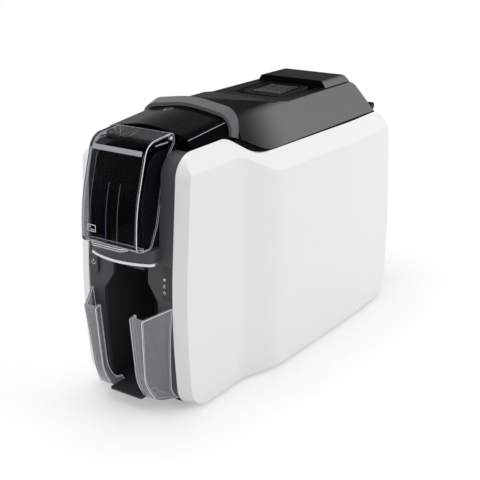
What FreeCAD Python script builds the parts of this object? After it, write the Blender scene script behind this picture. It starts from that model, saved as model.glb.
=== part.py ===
# A desktop printer for plastic id cards, in millimetres, +Z up, front towards -Y.
# Depths are given from the front rims of the white side covers, and origin_setback moves them
# so that the origin lies under the middle of the whole printer, on the surface it stands on.
import FreeCAD, Part
import Sketcher
import math
import os

Vector = FreeCAD.Vector

SIZES = (
    # Whole printer
    ("origin_setback", 171.25, "front rims to the middle of the whole depth"),
    ("side_gap", 0.3, "gap between parts that lie side by side"),
    ("moving_gap", 0.9, "room round turning parts"),
    ("shaft_gap", 0.05, "radial clearance of a shaft in its bearing"),
    ("overrun", 5.0, "how far a cutter runs past what it cuts"),
    # White side covers
    ("cover_wall", 2.5, "wall of the side covers"),
    ("rim_half_width", 48.0, "middle plane to the front rims"),
    ("bevel_width", 12.0, "bevel along the rims, across the printer"),
    ("front_bevel_depth", 5.3, "how far the front bevel falls back"),
    ("rear_bevel_depth", 8.0, "how far the rear bevel comes forward"),
    ("top_bevel_drop", 17.5, "how far the top bevel falls"),
    ("waist_half_width", 61.0, "half width at the back of the narrow front part"),
    ("waist_y", 89.0, "depth of the waist"),
    ("waist_radius", 48.0, "round of the waist"),
    ("hip_half_width", 74.5, "half width where the body gets wide"),
    ("hip_y", 127.0, "depth of the hip"),
    ("hip_radius", 60.0, "round of the hip"),
    ("rear_half_width", 78.4, "largest half width of the outline's corners"),
    ("widest_y", 280.0, "depth of the widest place"),
    ("flank_radius", 900.0, "round of the long flanks"),
    ("tail_half_width", 75.0, "half width at the back"),
    ("rim_lag", 5.0, "how far the rim's bend lies behind the flank's"),
    ("cover_bottom", 3.0, "height of the covers' lower edge"),
    ("toe_y", 5.0, "depth of the front rim at its foot"),
    ("toe_radius", 24.0, "round of the lower front corner"),
    ("chest_y", -3.0, "depth of the foremost corner of the rim"),
    ("chest_z", 95.0, "height of that corner"),
    ("chest_radius", 600.0, "round of the long front rim"),
    ("brow_y", 8.5, "depth of the rim's upper corner"),
    ("brow_z", 238.2, "height of the rim's upper corner"),
    ("brow_radius", 22.0, "round of the upper front corner"),
    ("hump_y", 87.0, "depth of the top edge's high corner"),
    ("hump_z", 240.2, "height of the top edge over the hopper"),
    ("hump_radius", 45.0, "round of the high corner"),
    ("saddle_y", 128.0, "depth of the foot of the slope"),
    ("saddle_z", 219.5, "height of the top edge beside the lid"),
    ("saddle_radius", 60.0, "round of the foot of the slope"),
    ("tail_top_y", 359.0, "depth of the upper rear corner"),
    ("tail_radius", 25.0, "round of the upper rear corner"),
    ("back_y", 371.5, "depth of the rearmost corner"),
    ("back_z", 95.0, "height of the rearmost corner"),
    ("back_radius", 300.0, "round of the rear rim"),
    ("heel_y", 369.0, "depth of the rim at its rear foot"),
    ("heel_radius", 24.0, "round of the lower rear corner"),
    # Base and feet
    ("base_wall", 2.8, "thickness of the base plate"),
    ("foot_radius", 8.0, "radius of a foot"),
    ("foot_height", 4.0, "height of a foot"),
    ("front_foot_x", 36.0, "middle plane to the front feet"),
    ("front_foot_y", 34.0, "depth of the front feet"),
    ("rear_foot_inset", 28.4, "largest half width to the rear feet"),
    ("rear_foot_y", 335.0, "depth of the rear feet"),
    # Screws
    ("screw_radius", 1.5, "radius of a screw's shank"),
    ("screw_head_radius", 2.8, "radius of a screw's head"),
    ("screw_head_height", 1.6, "height of a screw's head"),
    ("screw_length", 6.0, "length of a screw's shank"),
    ("cover_screw_inset", 5.0, "rim to the front cover screws"),
    ("tail_screw_inset", 3.0, "rim's straight line to the rear cover screws"),
    ("tail_screw_setback", 32.0, "rear feet to the rear cover screws"),
    # Side frames
    ("frame_half_gap", 34.0, "middle plane to the inner faces of the side frames"),
    ("frame_sheet", 2.0, "thickness of the side frames"),
    ("frame_front_y", 25.0, "front edge of the side frames"),
    ("frame_step_y", 38.0, "depth where the frames step up"),
    ("frame_step_z", 138.0, "height of the step"),
    ("frame_crest_z", 224.0, "top of the frames beside the hopper"),
    ("frame_crest_y", 84.0, "rear end of that top"),
    ("frame_slope_y", 114.0, "foot of the frames' slope"),
    ("frame_back_y", 337.0, "rear edge of the side frames"),
    ("tie_radius", 4.0, "radius of the tie rods"),
    ("front_tie_y", 84.0, "depth of the front tie rod, behind the output bin"),
    ("tie_z", 40.0, "height of the lower tie rods"),
    ("tie_inset", 22.0, "rear tie rods from the frames' rear edge"),
    # Card path
    ("card_plane", 160.0, "height of the card's underside"),
    ("card_gap", 0.9, "room for one card"),
    ("card_width", 54.0, "width of a card"),
    ("roller_radius", 8.0, "radius of the feed rollers"),
    ("roller_pitch", 50.0, "distance between rollers"),
    ("feed_y", 60.0, "depth of the hopper's feed roller"),
    ("roller_half_length", 25.0, "half length of the rubber rollers"),
    ("shaft_radius", 3.0, "radius of the roller shafts"),
    ("pinch_radius", 5.0, "radius of the pinch rollers"),
    ("pinch_shaft_radius", 2.0, "radius of the pinch shafts"),
    ("guide_sheet", 2.0, "thickness of the card guides"),
    ("guide_sink", 0.6, "card guide below the card"),
    ("guide_front_y", 79.0, "front edge of the card guide"),
    ("guide_back_y", 322.0, "rear edge of the card guide"),
    # Gears
    ("gear_module", 1.0, "module of all gears"),
    ("gear_width", 5.0, "face width of the gears"),
    ("gear_gap", 1.5, "side frame to gear"),
    ("backlash", 0.16, "play of a tooth at the pitch circle"),
    ("hub_radius", 5.0, "radius of a gear's hub"),
    ("stud_radius", 2.0, "radius of the idler studs"),
    ("stud_cap", 1.2, "thickness of a stud's cap"),
    # Drive motor
    ("motor_radius", 14.0, "radius of the drive motor"),
    ("motor_length", 38.0, "length of the drive motor"),
    ("motor_shaft_radius", 1.5, "radius of its shaft"),
    ("motor_flange", 2.0, "thickness of its flange"),
    # Ribbon
    ("supply_y", 275.0, "depth of the supply spool"),
    ("core_radius", 8.0, "radius of a spool's tube"),
    ("spindle_radius", 3.0, "radius of the spools' journals"),
    ("hub_half_gap", 29.0, "half length of a spool's tube"),
    ("takeup_roll_radius", 13.0, "radius of the used ribbon"),
    ("supply_roll_radius", 20.0, "radius of the new ribbon"),
    ("ribbon_half_width", 27.5, "half width of the ribbon"),
    ("ribbon_film", 0.3, "thickness of the ribbon film"),
    ("flange_sheet", 1.4, "thickness of a spool's flange"),
    ("flange_lip", 3.0, "how far a spool's flange stands past its film"),
    # Printhead
    ("head_half_length", 28.0, "half length of the printhead"),
    ("head_half_depth", 9.0, "half depth of the printhead"),
    ("head_height", 10.0, "height of the printhead"),
    ("head_lift", 0.3, "printhead above the film"),
    ("bracket_half_depth", 6.0, "half depth of the printhead's bracket"),
    ("bracket_wall", 3.0, "wall of the bracket"),
    # Hopper
    ("hopper_half_width", 27.6, "middle plane to the hopper's inner faces"),
    ("hopper_wall", 1.3, "side walls of the hopper"),
    ("hopper_nose_y", -14.0, "front end of the hopper's cheeks"),
    ("hopper_back_y", 73.5, "inner face of the hopper's back"),
    ("hopper_back_wall", 2.5, "thickness of the hopper's back"),
    ("hopper_floor", 2.3, "thickness of the hopper's floor"),
    ("hopper_floor_sink", 0.7, "hopper floor below the card plane"),
    ("hopper_nose_z", 200.0, "height where the cheeks' front starts to lean back"),
    ("hopper_brow_y", -1.0, "depth of the cheeks' upper front corner"),
    ("hopper_top_z", 243.0, "top of the hopper's cheeks"),
    ("hopper_nose_radius", 22.0, "round of the cheeks' upper front corner"),
    ("hopper_rib", 1.2, "thickness of a rib on the hopper's back"),
    ("hopper_rib_pitch", 16.56, "spacing of the ribs"),
    ("hopper_brow_drop", 5.2, "drop of the cheeks to their front edge"),
    ("hopper_rib_depth", 5.0, "depth of those ribs"),
    ("hopper_tab_y", 48.0, "front of the hopper's fixing tabs"),
    ("hopper_tab_depth", 16.0, "depth of the fixing tabs"),
    ("hopper_tab_z", 190.0, "height of the fixing tabs"),
    ("hopper_tab_height", 12.0, "height of a fixing tab"),
    # Clear hopper door
    ("door_half_width", 31.0, "half width of the door"),
    ("door_wall", 1.8, "wall of the door"),
    ("door_foot_y", -25.3, "lower front corner of the door"),
    ("door_foot_z", 158.6, "height of that corner"),
    ("door_foot_radius", 5.0, "round of that corner"),
    ("door_belly_y", -23.2, "front corner halfway up the door"),
    ("door_belly_z", 194.0, "height of that corner"),
    ("door_belly_radius", 150.0, "round of the door's front"),
    ("door_bend_y", -6.5, "upper front corner of the door"),
    ("door_bend_z", 249.6, "height of that corner"),
    ("door_bend_radius", 16.0, "round of the upper bend"),
    ("door_tail_z", 252.8, "height of the door's rear end"),
    ("door_flank_y", 15.0, "depth of the door's side below the hinge"),
    ("door_flank_z", 226.0, "height of that corner"),
    ("door_flank_radius", 10.0, "round of that corner"),
    ("door_shank_y", 3.5, "rear edge of the door's side"),
    ("door_shank_z", 176.0, "height of that corner"),
    ("door_shank_radius", 40.0, "round of that corner"),
    ("door_heel_y", -6.0, "lower rear corner of the door"),
    ("door_heel_z", 157.2, "height of that corner"),
    ("door_heel_radius", 4.0, "round of that corner"),
    ("door_lip", 3.6, "how far the finger lip stands out"),
    ("door_lip_sheet", 2.0, "thickness of the finger lip"),
    ("door_lip_half", 16.0, "half width of the finger lip"),
    ("hinge_y", 25.0, "depth of the door's hinge"),
    ("hinge_z", 248.0, "height of the door's hinge"),
    ("door_round", 4.4, "round of the door's rear end about its hinge"),
    ("door_pin_radius", 1.2, "radius of the door's hinge pins"),
    ("door_ear_radius", 2.1, "radius of the hopper's hinge ears"),
    ("ear_arm_half", 1.9, "half depth of the arm under an ear"),
    # Fascia
    ("fascia_wall", 3.0, "wall of the fascia"),
    ("fascia_setback", 1.6, "fascia behind the rims"),
    ("door_hole_gap", 0.6, "gap beside the door"),
    ("exit_half_width", 20.0, "half width of the opening's upper part"),
    ("exit_top_z", 146.0, "top of the output opening"),
    ("exit_knee_z", 122.0, "height where the opening widens"),
    ("bin_shoulder_z", 106.0, "height where it is full width"),
    ("bin_half_width", 31.0, "half width of the output bin"),
    ("bin_wall", 1.8, "wall of the output bin"),
    ("bin_top_z", 141.6, "top of the output bin"),
    ("bin_back_y", 70.0, "back of the output bin"),
    ("slot_half_width", 28.5, "half width of the card exit"),
    ("slot_low_z", 126.0, "lower edge of the card exit"),
    ("slot_high_z", 134.0, "upper edge of the card exit"),
    ("tongue_half_width", 18.6, "half width of the bin's front tongue"),
    ("tongue_y", -12.0, "front of that tongue"),
    ("tongue_back_y", 40.0, "rear end of that tongue in the bin"),
    ("chin_half_width", 34.0, "half width of the chin under the door"),
    ("chin_side_y", -9.0, "depth of the chin's side corners"),
    ("chin_front_y", -23.0, "depth of the chin's front corner"),
    ("chin_back_y", 6.3, "depth of the chin's root in the fascia"),
    ("chin_side_radius", 6.0, "round of the chin's side corners"),
    ("chin_front_radius", 74.0, "round of the chin's front"),
    ("chin_top_z", 156.6, "top of the chin"),
    ("chin_height", 11.0, "height of the chin"),
    ("trim_height", 2.4, "height of the bright trim"),
    ("trim_proud", 1.2, "how far the trim stands out"),
    ("trim_depth", 6.0, "depth of the trim"),
    ("mouth_half_width", 14.0, "half width of the block in the opening's top"),
    ("mouth_x", 5.0, "middle plane to that block's middle"),
    ("mouth_height", 11.0, "height of that block"),
    ("mouth_depth", 9.0, "depth of that block"),
    # Controls
    ("button_x", 41.0, "middle plane to the power button"),
    ("button_z", 128.5, "height of the power button"),
    ("button_half_width", 4.6, "half width of the power button"),
    ("button_half_height", 10.0, "half height of the power button"),
    ("button_corner", 4.2, "round of the power button"),
    ("button_front_y", -1.3, "front face of the power button"),
    ("button_depth", 8.0, "depth of the power button"),
    ("status_x", 41.2, "middle plane to the status window"),
    ("status_z", 125.0, "height of the status window"),
    ("status_half_width", 4.6, "half width of the status window"),
    ("status_half_height", 15.0, "half height of the status window"),
    ("status_corner", 1.5, "round of the status window"),
    ("status_sheet", 1.0, "thickness of the status window"),
    # Clear output wings
    ("wing_slot_half", 19.5, "middle plane to the wings' inner edges"),
    ("wing_front_half", 33.0, "half width across the wings' fronts"),
    ("wing_rear_half", 46.0, "half width across the wings' backs"),
    ("wing_reach", 24.8, "how far the wings stand before the rims"),
    ("wing_top_z", 97.0, "top of the wings' fronts"),
    ("wing_crest_z", 108.0, "top of the wings at the fascia"),
    ("wing_shin_y", -18.5, "front of the wings near their foot"),
    ("wing_shin_z", 32.0, "height of that corner"),
    ("wing_shin_radius", 48.0, "round of that corner"),
    ("wing_foot_y", -7.0, "lower front corner of the wings"),
    ("wing_foot_z", 12.0, "lower edge of the wings"),
    ("wing_foot_radius", 11.0, "round of that corner"),
    ("wing_wall", 2.0, "wall of the wings"),
    ("wing_lip", 6.0, "depth of the wings' inner lips"),
    ("wing_corner", 1.5, "round of the wings' upper front corner"),
    ("wing_root_y", 17.0, "rear end of the wings before trimming"),
    # Hood
    ("hood_front_y", 29.9, "front edge of the hood"),
    ("hood_back_y", 93.0, "rear edge of the hood"),
    ("hood_foot_half", 47.6, "half width of the hood's foot"),
    ("hood_half_width", 46.8, "half width at the hood's upper corner"),
    ("hood_low_z", 227.0, "lower edge of the hood"),
    ("hood_corner_z", 249.0, "height of the upper corner at the front"),
    ("hood_corner_radius", 12.0, "round of that corner"),
    ("hood_crown_z", 256.5, "height of the middle at the front"),
    ("hood_crown_radius", 110.0, "round of the middle"),
    ("hood_rise", 6.5, "how much the hood rises to its back"),
    ("hood_wall", 2.2, "wall of the hood"),
    # Lid
    ("collar_front_y", 86.0, "front edge of the lid's collar"),
    ("collar_depth", 11.0, "depth of the collar"),
    ("collar_wall", 3.0, "wall of the collar"),
    ("collar_flare", 2.6, "how much the collar thickens to its back"),
    ("lid_gap", 0.5, "gap under the lid"),
    ("lid_wall", 2.5, "wall of the lid"),
    ("lid_foot_half", 62.5, "half width of the lid's foot"),
    ("lid_shoulder_half", 44.5, "half width of the lid's shoulder"),
    ("lid_shoulder_rise", 36.0, "covers' top edge to that corner"),
    ("lid_shoulder_radius", 9.0, "round of the shoulder"),
    ("lid_crown", 11.5, "shoulder to the crown's corner in the middle"),
    ("lid_crown_radius", 110.0, "round of the crown"),
    ("lid_front_rise", 47.5, "covers' top edge to the lid's top at the collar"),
    ("lid_deck_y", 190.0, "front end of the level deck"),
    ("lid_deck_rise", 33.9, "covers' top edge to the level deck"),
    ("lid_tail_y", 322.0, "rear end of the deck"),
    ("lid_tail_radius", 14.0, "round of the deck's rear end"),
    ("lid_heel_y", 343.0, "foot of the lid's rear slope"),
    ("block_front_y", 270.0, "front of the raised block"),
    ("block_rise", 7.2, "deck to the top of the raised block"),
    ("block_half_width", 37.0, "half width of the block's top"),
    ("block_spread", 6.0, "how much the block is wider at its foot"),
    ("block_radius", 5.0, "round of the block's edges"),
    ("recess_front_y", 200.0, "front of the recess"),
    ("recess_half_width", 33.0, "half width of the recess"),
    ("recess_depth", 4.5, "depth of the recess"),
    ("recess_radius", 16.0, "round of the recess's front corners"),
    # Latch button in the recess
    ("latch_front_y", 208.0, "front of the latch button"),
    ("latch_length", 56.0, "length of the latch button"),
    ("latch_half_width", 25.0, "half width of the latch button"),
    ("latch_radius", 14.0, "round of its front corners"),
    ("latch_small_radius", 2.0, "round of its rear corners"),
    ("latch_rise", 3.6, "its front edge above the recess floor"),
    ("latch_ramp", 2.4, "how much higher its rear end is"),
    ("latch_skirt", 3.2, "depth of the button below the recess floor"),
    ("latch_ribs", 6.0, "number of grip ribs"),
    ("latch_rib_width", 1.6, "width of a grip rib"),
    ("latch_rib_height", 0.7, "height of a grip rib"),
    ("latch_rib_pitch", 5.0, "pitch of the grip ribs"),
    ("latch_rib_margin", 6.0, "last rib from the button's rear edge"),
    ("latch_rib_inset", 4.0, "ribs from the button's sides"),
    # Inside the lid
    ("liner_half_width", 38.0, "half width of the lid's inner frame"),
    ("liner_front_y", 112.0, "front edge of the inner frame"),
    ("liner_back_y", 322.0, "rear edge of the inner frame"),
    ("liner_sheet", 2.0, "thickness of the inner frame"),
    ("liner_margin", 27.0, "frame's back edge to its window"),
    ("liner_drop", 13.4, "deck to the underside of the inner frame"),
    ("liner_post_radius", 3.0, "radius of the posts under the lid"),
    ("post_front_inset", 10.0, "frame's front edge to the front posts"),
    ("post_back_inset", 20.0, "frame's back edge to the rear posts"),
    ("hook_y", 190.0, "depth of the latch hooks' shaft"),
    ("hook_z", 232.0, "height of the latch hooks' shaft"),
    ("hook_shaft_radius", 2.5, "radius of that shaft"),
    ("hook_half_gap", 29.5, "middle plane to the hooks"),
    ("hook_sheet", 2.5, "thickness of a hook"),
    ("hook_half_depth", 4.0, "half depth of a hook's arm"),
    ("hook_drop", 26.0, "length of a hook's arm"),
    ("hook_nose", 5.0, "length of a hook's nose"),
    ("hook_bearing", 3.0, "wall of the hooks' bearings"),
    ("catch_length", 5.0, "length of the catches on the side frames"),
    ("catch_radius", 2.0, "radius of a catch"),
    ("catch_gap", 1.2, "room between a hook's nose and its catch"),
    # Deck under the lid
    ("deck_drop", 1.5, "deck below the covers' top edge"),
    ("deck_sheet", 3.0, "thickness of the deck"),
    ("deck_foot_z", 197.0, "lower edge of the deck's rear lip"),
    ("bay_half_width", 33.0, "half width of the ribbon bay"),
    ("bay_front_y", 122.0, "front edge of the ribbon bay"),
    ("bay_back_y", 330.0, "rear edge of the ribbon bay"),
    ("bay_radius", 8.0, "round of the bay's corners"),
    ("seal_width", 3.0, "width of the lid's seal"),
    ("seal_height", 1.7, "height of the lid's seal"),
    # Lid hinge
    ("lid_hinge_y", 352.0, "depth of the lid's hinge"),
    ("lid_hinge_z", 222.6, "height of the lid's hinge"),
    ("knuckle_radius", 4.0, "radius of the hinge knuckles"),
    ("knuckle_length", 9.0, "length of a knuckle"),
    ("lid_knuckle_x", 42.0, "middle plane to the lid's knuckles"),
    ("lid_pin_radius", 2.0, "radius of the lid's hinge pins"),
    ("arm_height", 3.6, "height of the arm to a knuckle"),
    # Rear panel and sockets
    ("rear_sheet", 2.4, "thickness of the rear panel"),
    ("rear_setback", 1.6, "rear panel before the rims"),
    ("rear_face_y", 368.2, "rear ends of the sockets"),
    ("vent_count", 9.0, "number of vent slots"),
    ("vent_pitch", 7.0, "pitch of the vent slots"),
    ("vent_half_width", 1.5, "half width of a vent slot"),
    ("vent_low_z", 120.0, "lower end of the vents"),
    ("vent_high_z", 160.0, "upper end of the vents"),
    ("board_y", 350.0, "rear face of the control board"),
    ("board_sheet", 1.6, "thickness of the control board"),
    ("board_half_width", 46.0, "half width of the control board"),
    ("board_low_z", 18.0, "lower edge of the control board"),
    ("board_high_z", 84.0, "upper edge of the control board"),
    ("standoff_radius", 3.0, "radius of the board's standoffs"),
    ("standoff_inset", 5.0, "standoffs from the board's edges"),
    ("socket_z", 44.0, "middle height of the sockets"),
    ("usb_x", -30.0, "place of the data socket"),
    ("usb_half_width", 6.0, "half width of the data socket"),
    ("usb_half_height", 5.5, "half height of the data socket"),
    ("net_x", -4.0, "place of the network socket"),
    ("net_half_width", 8.0, "half width of the network socket"),
    ("net_half_height", 7.0, "half height of the network socket"),
    ("inlet_x", 26.0, "place of the power inlet"),
    ("inlet_radius", 7.5, "radius of the power inlet"),
    ("inlet_pin_radius", 4.4, "radius of the inlet's inner plug"),
    ("socket_wall", 1.2, "wall of the sockets"),
    ("socket_depth", 9.0, "depth of the sockets' mouths"),
    ("tongue_margin", 3.0, "room round a socket's tongue"),
    ("chip_half", 8.0, "half size of the main chip"),
    ("chip_height", 2.0, "height of the main chip"),
    ("chip_x", 22.0, "middle plane to the main chip"),
    ("chip_z", 66.0, "height of the main chip"),
)

# Tooth counts and tooth form of the gears
ROLLER_TEETH = 24
IDLER_TEETH = 30
LIFT_TEETH = 18
TAKEUP_TEETH = 36
PINION_TEETH = 14
DEDENDUM = 1.25
PRESSURE_ANGLE = math.radians(20)

# Rollers along the card path, steps in which the door's room is opened to the back, and
# knuckles in each hinge of the lid
ROLLERS = 4
DOOR_STEPS = 4
KNUCKLES = 3

doc = FreeCAD.newDocument("id_card_printer")
sheet = doc.addObject("Spreadsheet::Sheet", "Sizes")
for row, (alias, value, note) in enumerate(SIZES, start=1):
    sheet.set(f"A{row}", note)
    sheet.set(f"B{row}", str(value))
    sheet.setAlias(f"B{row}", alias)
doc.recompute()


class Dim:
    """A size that knows its value and the expression of sheet cells it comes from."""

    def __init__(self, value, text):
        self.value = value
        self.text = text

    def __add__(self, other):
        other = dim(other)
        return Dim(self.value + other.value, f"({self.text} + {other.text})")

    def __radd__(self, other):
        return dim(other) + self

    def __sub__(self, other):
        other = dim(other)
        return Dim(self.value - other.value, f"({self.text} - {other.text})")

    def __rsub__(self, other):
        return dim(other) - self

    def __mul__(self, other):
        other = dim(other)
        return Dim(self.value * other.value, f"({self.text} * {other.text})")

    def __rmul__(self, other):
        return dim(other) * self

    def __truediv__(self, other):
        other = dim(other)
        return Dim(self.value / other.value, f"({self.text} / {other.text})")

    def __neg__(self):
        return Dim(-self.value, f"(0 - {self.text})")


def dim(number):
    return number if isinstance(number, Dim) else Dim(float(number), repr(float(number)))


def root(size):
    return Dim(math.sqrt(size.value), f"sqrt({size.text})")


class Cells:
    def __getattr__(self, alias):
        return Dim(float(getattr(sheet, alias)), f"Sizes.{alias}")


S = Cells()
ZERO = dim(0)
NODES = []


def node(label, obj):
    obj.Label = label
    NODES.append(obj)
    return obj


def bind(obj, prop, size):
    obj.setExpression(prop, size.text)


def move(obj, x, y, z):
    """Binds a place; y is a depth from the front rims."""
    for axis, size in (("x", x), ("y", y - S.origin_setback), ("z", z)):
        bind(obj, f"Placement.Base.{axis}", size)


TURNS = {
    "XY": FreeCAD.Rotation(),
    "XZ": FreeCAD.Rotation(Vector(1, 0, 0), 90),
    "YZ": FreeCAD.Rotation(Vector(1, 1, 1), 120),
}
OUTWARD = {"XY": (0, 0, 1), "XZ": (0, 1, 0), "YZ": (1, 0, 0)}


def local(plane, u, v):
    """A point of an outline in its sketch's own coordinates."""
    if plane == "XY":
        return u, v - S.origin_setback
    if plane == "YZ":
        return u - S.origin_setback, v
    return u, v


def round_corner(before, here, after, radius):
    """The two ends and the middle of the arc that rounds a corner, and whether it turns left."""
    back = (before - here).normalize()
    ahead = (after - here).normalize()
    half = back.getAngle(ahead) / 2
    reach = radius / math.tan(half)
    middle = here + (back + ahead).normalize() * (radius / math.sin(half))
    return here + back * reach, here + ahead * reach, middle, ahead.cross(back).z > 0


def add_circle(sketch, plane, middle_u, middle_v, radius):
    u, v = local(plane, middle_u, middle_v)
    index = sketch.GeometryCount
    first = sketch.ConstraintCount
    circle = Part.Circle(Vector(u.value, v.value), Vector(0, 0, 1), radius.value)
    sketch.addGeometry(circle, False)
    sketch.addConstraint([
        Sketcher.Constraint("Radius", index, radius.value),
        Sketcher.Constraint("DistanceX", -1, 1, index, 3, u.value),
        Sketcher.Constraint("DistanceY", -1, 1, index, 3, v.value),
    ])
    for step, size in enumerate((radius, u, v)):
        bind(sketch, f"Constraints[{first + step}]", size)


def add_outline(sketch, plane, corners):
    """A closed outline of lines; a corner (u, v, radius) is rounded by an arc tangent to both."""
    count = len(corners)
    spots = [local(plane, corner[0], corner[1]) for corner in corners]
    points = [Vector(u.value, v.value) for u, v in spots]
    rounds = {}
    for i, corner in enumerate(corners):
        if len(corner) == 3:
            rounds[i] = round_corner(points[i - 1], points[i], points[(i + 1) % count],
                                     corner[2].value)
    leaving = [rounds[i][1] if i in rounds else points[i] for i in range(count)]
    arriving = [rounds[i][0] if i in rounds else points[i] for i in range(count)]
    base = sketch.GeometryCount
    lines = [Part.LineSegment(leaving[i], arriving[(i + 1) % count]) for i in range(count)]
    sketch.addGeometry(lines, False)
    arcs = {}
    marks = {}
    for i, (start, end, middle, turns_left) in rounds.items():
        if not turns_left:
            start, end = end, start
        angles = [math.atan2(p.y - middle.y, p.x - middle.x) for p in (start, end)]
        circle = Part.Circle(middle, Vector(0, 0, 1), corners[i][2].value)
        arcs[i] = sketch.addGeometry(Part.ArcOfCircle(circle, *angles), False)
    for i in rounds:
        marks[i] = sketch.addGeometry(Part.Point(points[i]), True)
    links = []
    bound = []
    for i in range(count):
        before = base + (i - 1) % count
        after = base + i
        if i in rounds:
            ends = (1, 2) if rounds[i][3] else (2, 1)
            links += [
                Sketcher.Constraint("Tangent", before, 2, arcs[i], ends[0]),
                Sketcher.Constraint("Tangent", after, 1, arcs[i], ends[1]),
                Sketcher.Constraint("PointOnObject", marks[i], 1, before),
                Sketcher.Constraint("PointOnObject", marks[i], 1, after),
            ]
            bound.append((len(links), corners[i][2]))
            links.append(Sketcher.Constraint("Radius", arcs[i], corners[i][2].value))
            held = marks[i]
        else:
            links.append(Sketcher.Constraint("Coincident", before, 2, after, 1))
            held = after
        for kind, size in zip(("DistanceX", "DistanceY"), spots[i]):
            bound.append((len(links), size))
            links.append(Sketcher.Constraint(kind, -1, 1, held, 1, size.value))
    first = sketch.ConstraintCount
    sketch.addConstraint(links)
    for index, size in bound:
        bind(sketch, f"Constraints[{first + index}]", size)


def draw(sketch, plane, loops):
    for loop in loops:
        if loop[0] == "circle":
            add_circle(sketch, plane, *loop[1:])
        else:
            add_outline(sketch, plane, loop)


def prism(name, plane, offset, loops, length, lean=()):
    """An outline swept across its plane, or askew by the given lean per unit of sweep."""
    sketch = doc.addObject("Sketcher::SketchObject", f"{name}_outline")
    sketch.Placement.Rotation = TURNS[plane]
    if plane == "XZ":
        bind(sketch, "Placement.Base.y", offset - S.origin_setback)
    else:
        bind(sketch, "Placement.Base.x" if plane == "YZ" else "Placement.Base.z", offset)
    draw(sketch, plane, loops)
    solid = doc.addObject("Part::Extrusion", name)
    solid.Base = sketch
    solid.DirMode = "Custom"
    solid.Dir = Vector(*OUTWARD[plane])
    solid.Solid = True
    stretch = dim(1)
    for axis, slope in lean:
        bind(solid, f"Dir.{axis}", slope)
        stretch = stretch + slope * slope
    bind(solid, "LengthFwd", length * root(stretch) if lean else length)
    return solid


def box(name, xs, ys, zs):
    solid = doc.addObject("Part::Box", name)
    for prop, (low, high) in zip(("Length", "Width", "Height"), (xs, ys, zs)):
        bind(solid, prop, high - low)
    move(solid, xs[0], ys[0], zs[0])
    return solid


AXLE_TURNS = {
    "X": FreeCAD.Rotation(Vector(0, 1, 0), 90),
    "Y": FreeCAD.Rotation(Vector(1, 0, 0), -90),
    "Z": FreeCAD.Rotation(),
}


def rod(name, axis, start, radius, length):
    """A cylinder from its start point along +X, +Y or +Z."""
    solid = doc.addObject("Part::Cylinder", name)
    bind(solid, "Radius", radius)
    bind(solid, "Height", length)
    solid.Placement.Rotation = AXLE_TURNS[axis]
    move(solid, *start)
    return solid


def joined(kind, name, parts):
    solid = doc.addObject(kind, name)
    solid.Shapes = parts
    return solid


def fuse(name, *parts):
    return joined("Part::MultiFuse", name, list(parts))


def common(name, *parts):
    return joined("Part::MultiCommon", name, list(parts))


def cut(name, base, *tools):
    solid = doc.addObject("Part::Cut", name)
    solid.Base = base
    solid.Tool = tools[0] if len(tools) == 1 else fuse(f"{name}_tools", *tools)
    return solid


def mirror(name, source):
    solid = doc.addObject("Part::Mirroring", name)
    solid.Source = source
    solid.Normal = Vector(1, 0, 0)
    return solid


def group(name, parts):
    solid = doc.addObject("Part::Compound", name)
    solid.Links = list(parts)
    return solid


def body_sketch(body, plane, offset, loops):
    sketch = body.newObject("Sketcher::SketchObject", f"{body.Name}_sketch")
    role = f"{plane}_Plane"
    face = [item for item in body.Origin.OriginFeatures if item.Role == role][0]
    sketch.AttachmentSupport = [(face, "")]
    sketch.MapMode = "FlatFace"
    shift = S.origin_setback - offset if plane == "XZ" else offset
    bind(sketch, "AttachmentOffset.Base.z", shift)
    draw(sketch, plane, loops)
    return sketch


def plate(name, plane, offset, loops, length):
    """A body padded from one sketch, towards +X, +Y or +Z."""
    body = doc.addObject("PartDesign::Body", name)
    grow(body, plane, offset, loops, length)
    return body


def grow(body, plane, offset, loops, length):
    pad = body.newObject("PartDesign::Pad", f"{body.Name}_pad")
    pad.Profile = body_sketch(body, plane, offset, loops)
    bind(pad, "Length", length)
    pad.Reversed = plane == "XZ"
    return pad


def carve(body, plane, offset, loops, length):
    """A pocket from the sketch's plane towards +X, +Y or +Z."""
    pocket = body.newObject("PartDesign::Pocket", f"{body.Name}_pocket")
    pocket.Profile = body_sketch(body, plane, offset, loops)
    bind(pocket, "Length", length)
    pocket.Reversed = plane != "XZ"
    return pocket


def square(low_u, high_u, low_v, high_v, radius=None):
    corners = [(low_u, low_v), (high_u, low_v), (high_u, high_v), (low_u, high_v)]
    return [corner + (radius,) for corner in corners] if radius else corners


def ring(middle_u, middle_v, radius):
    return ("circle", middle_u, middle_v, radius)


def both_sides(right):
    """A right-hand edge from front to back, closed by its mirror image."""
    return right + [(-corner[0],) + corner[1:] for corner in reversed(right)]


# Outlines that several parts follow
FAR_FRONT = -S.wing_reach
FAR_BACK = S.back_y + S.wing_reach
HALF_ROOM = S.hip_half_width + S.rear_half_width
TOP_SLOPE = S.top_bevel_drop / S.bevel_width
FRONT_SLOPE = S.front_bevel_depth / S.bevel_width
REAR_SLOPE = S.rear_bevel_depth / S.bevel_width


def flank(inward, front_y, back_y, lag=ZERO):
    """The right-hand side in plan, from front to back."""
    return [
        (S.rim_half_width + S.bevel_width - inward, front_y),
        (S.waist_half_width - inward, S.waist_y + lag, S.waist_radius),
        (S.hip_half_width - inward, S.hip_y + lag, S.hip_radius),
        (S.rear_half_width - inward, S.widest_y, S.flank_radius),
        (S.tail_half_width - inward, back_y),
    ]


def top_line(drop):
    """The covers' top edge in side view, from the hump to behind the back."""
    return [
        (S.hump_y, S.hump_z - drop, S.hump_radius - drop),
        (S.saddle_y, S.saddle_z - drop, S.saddle_radius + drop),
        (FAR_BACK, S.saddle_z - drop),
    ]


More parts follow.
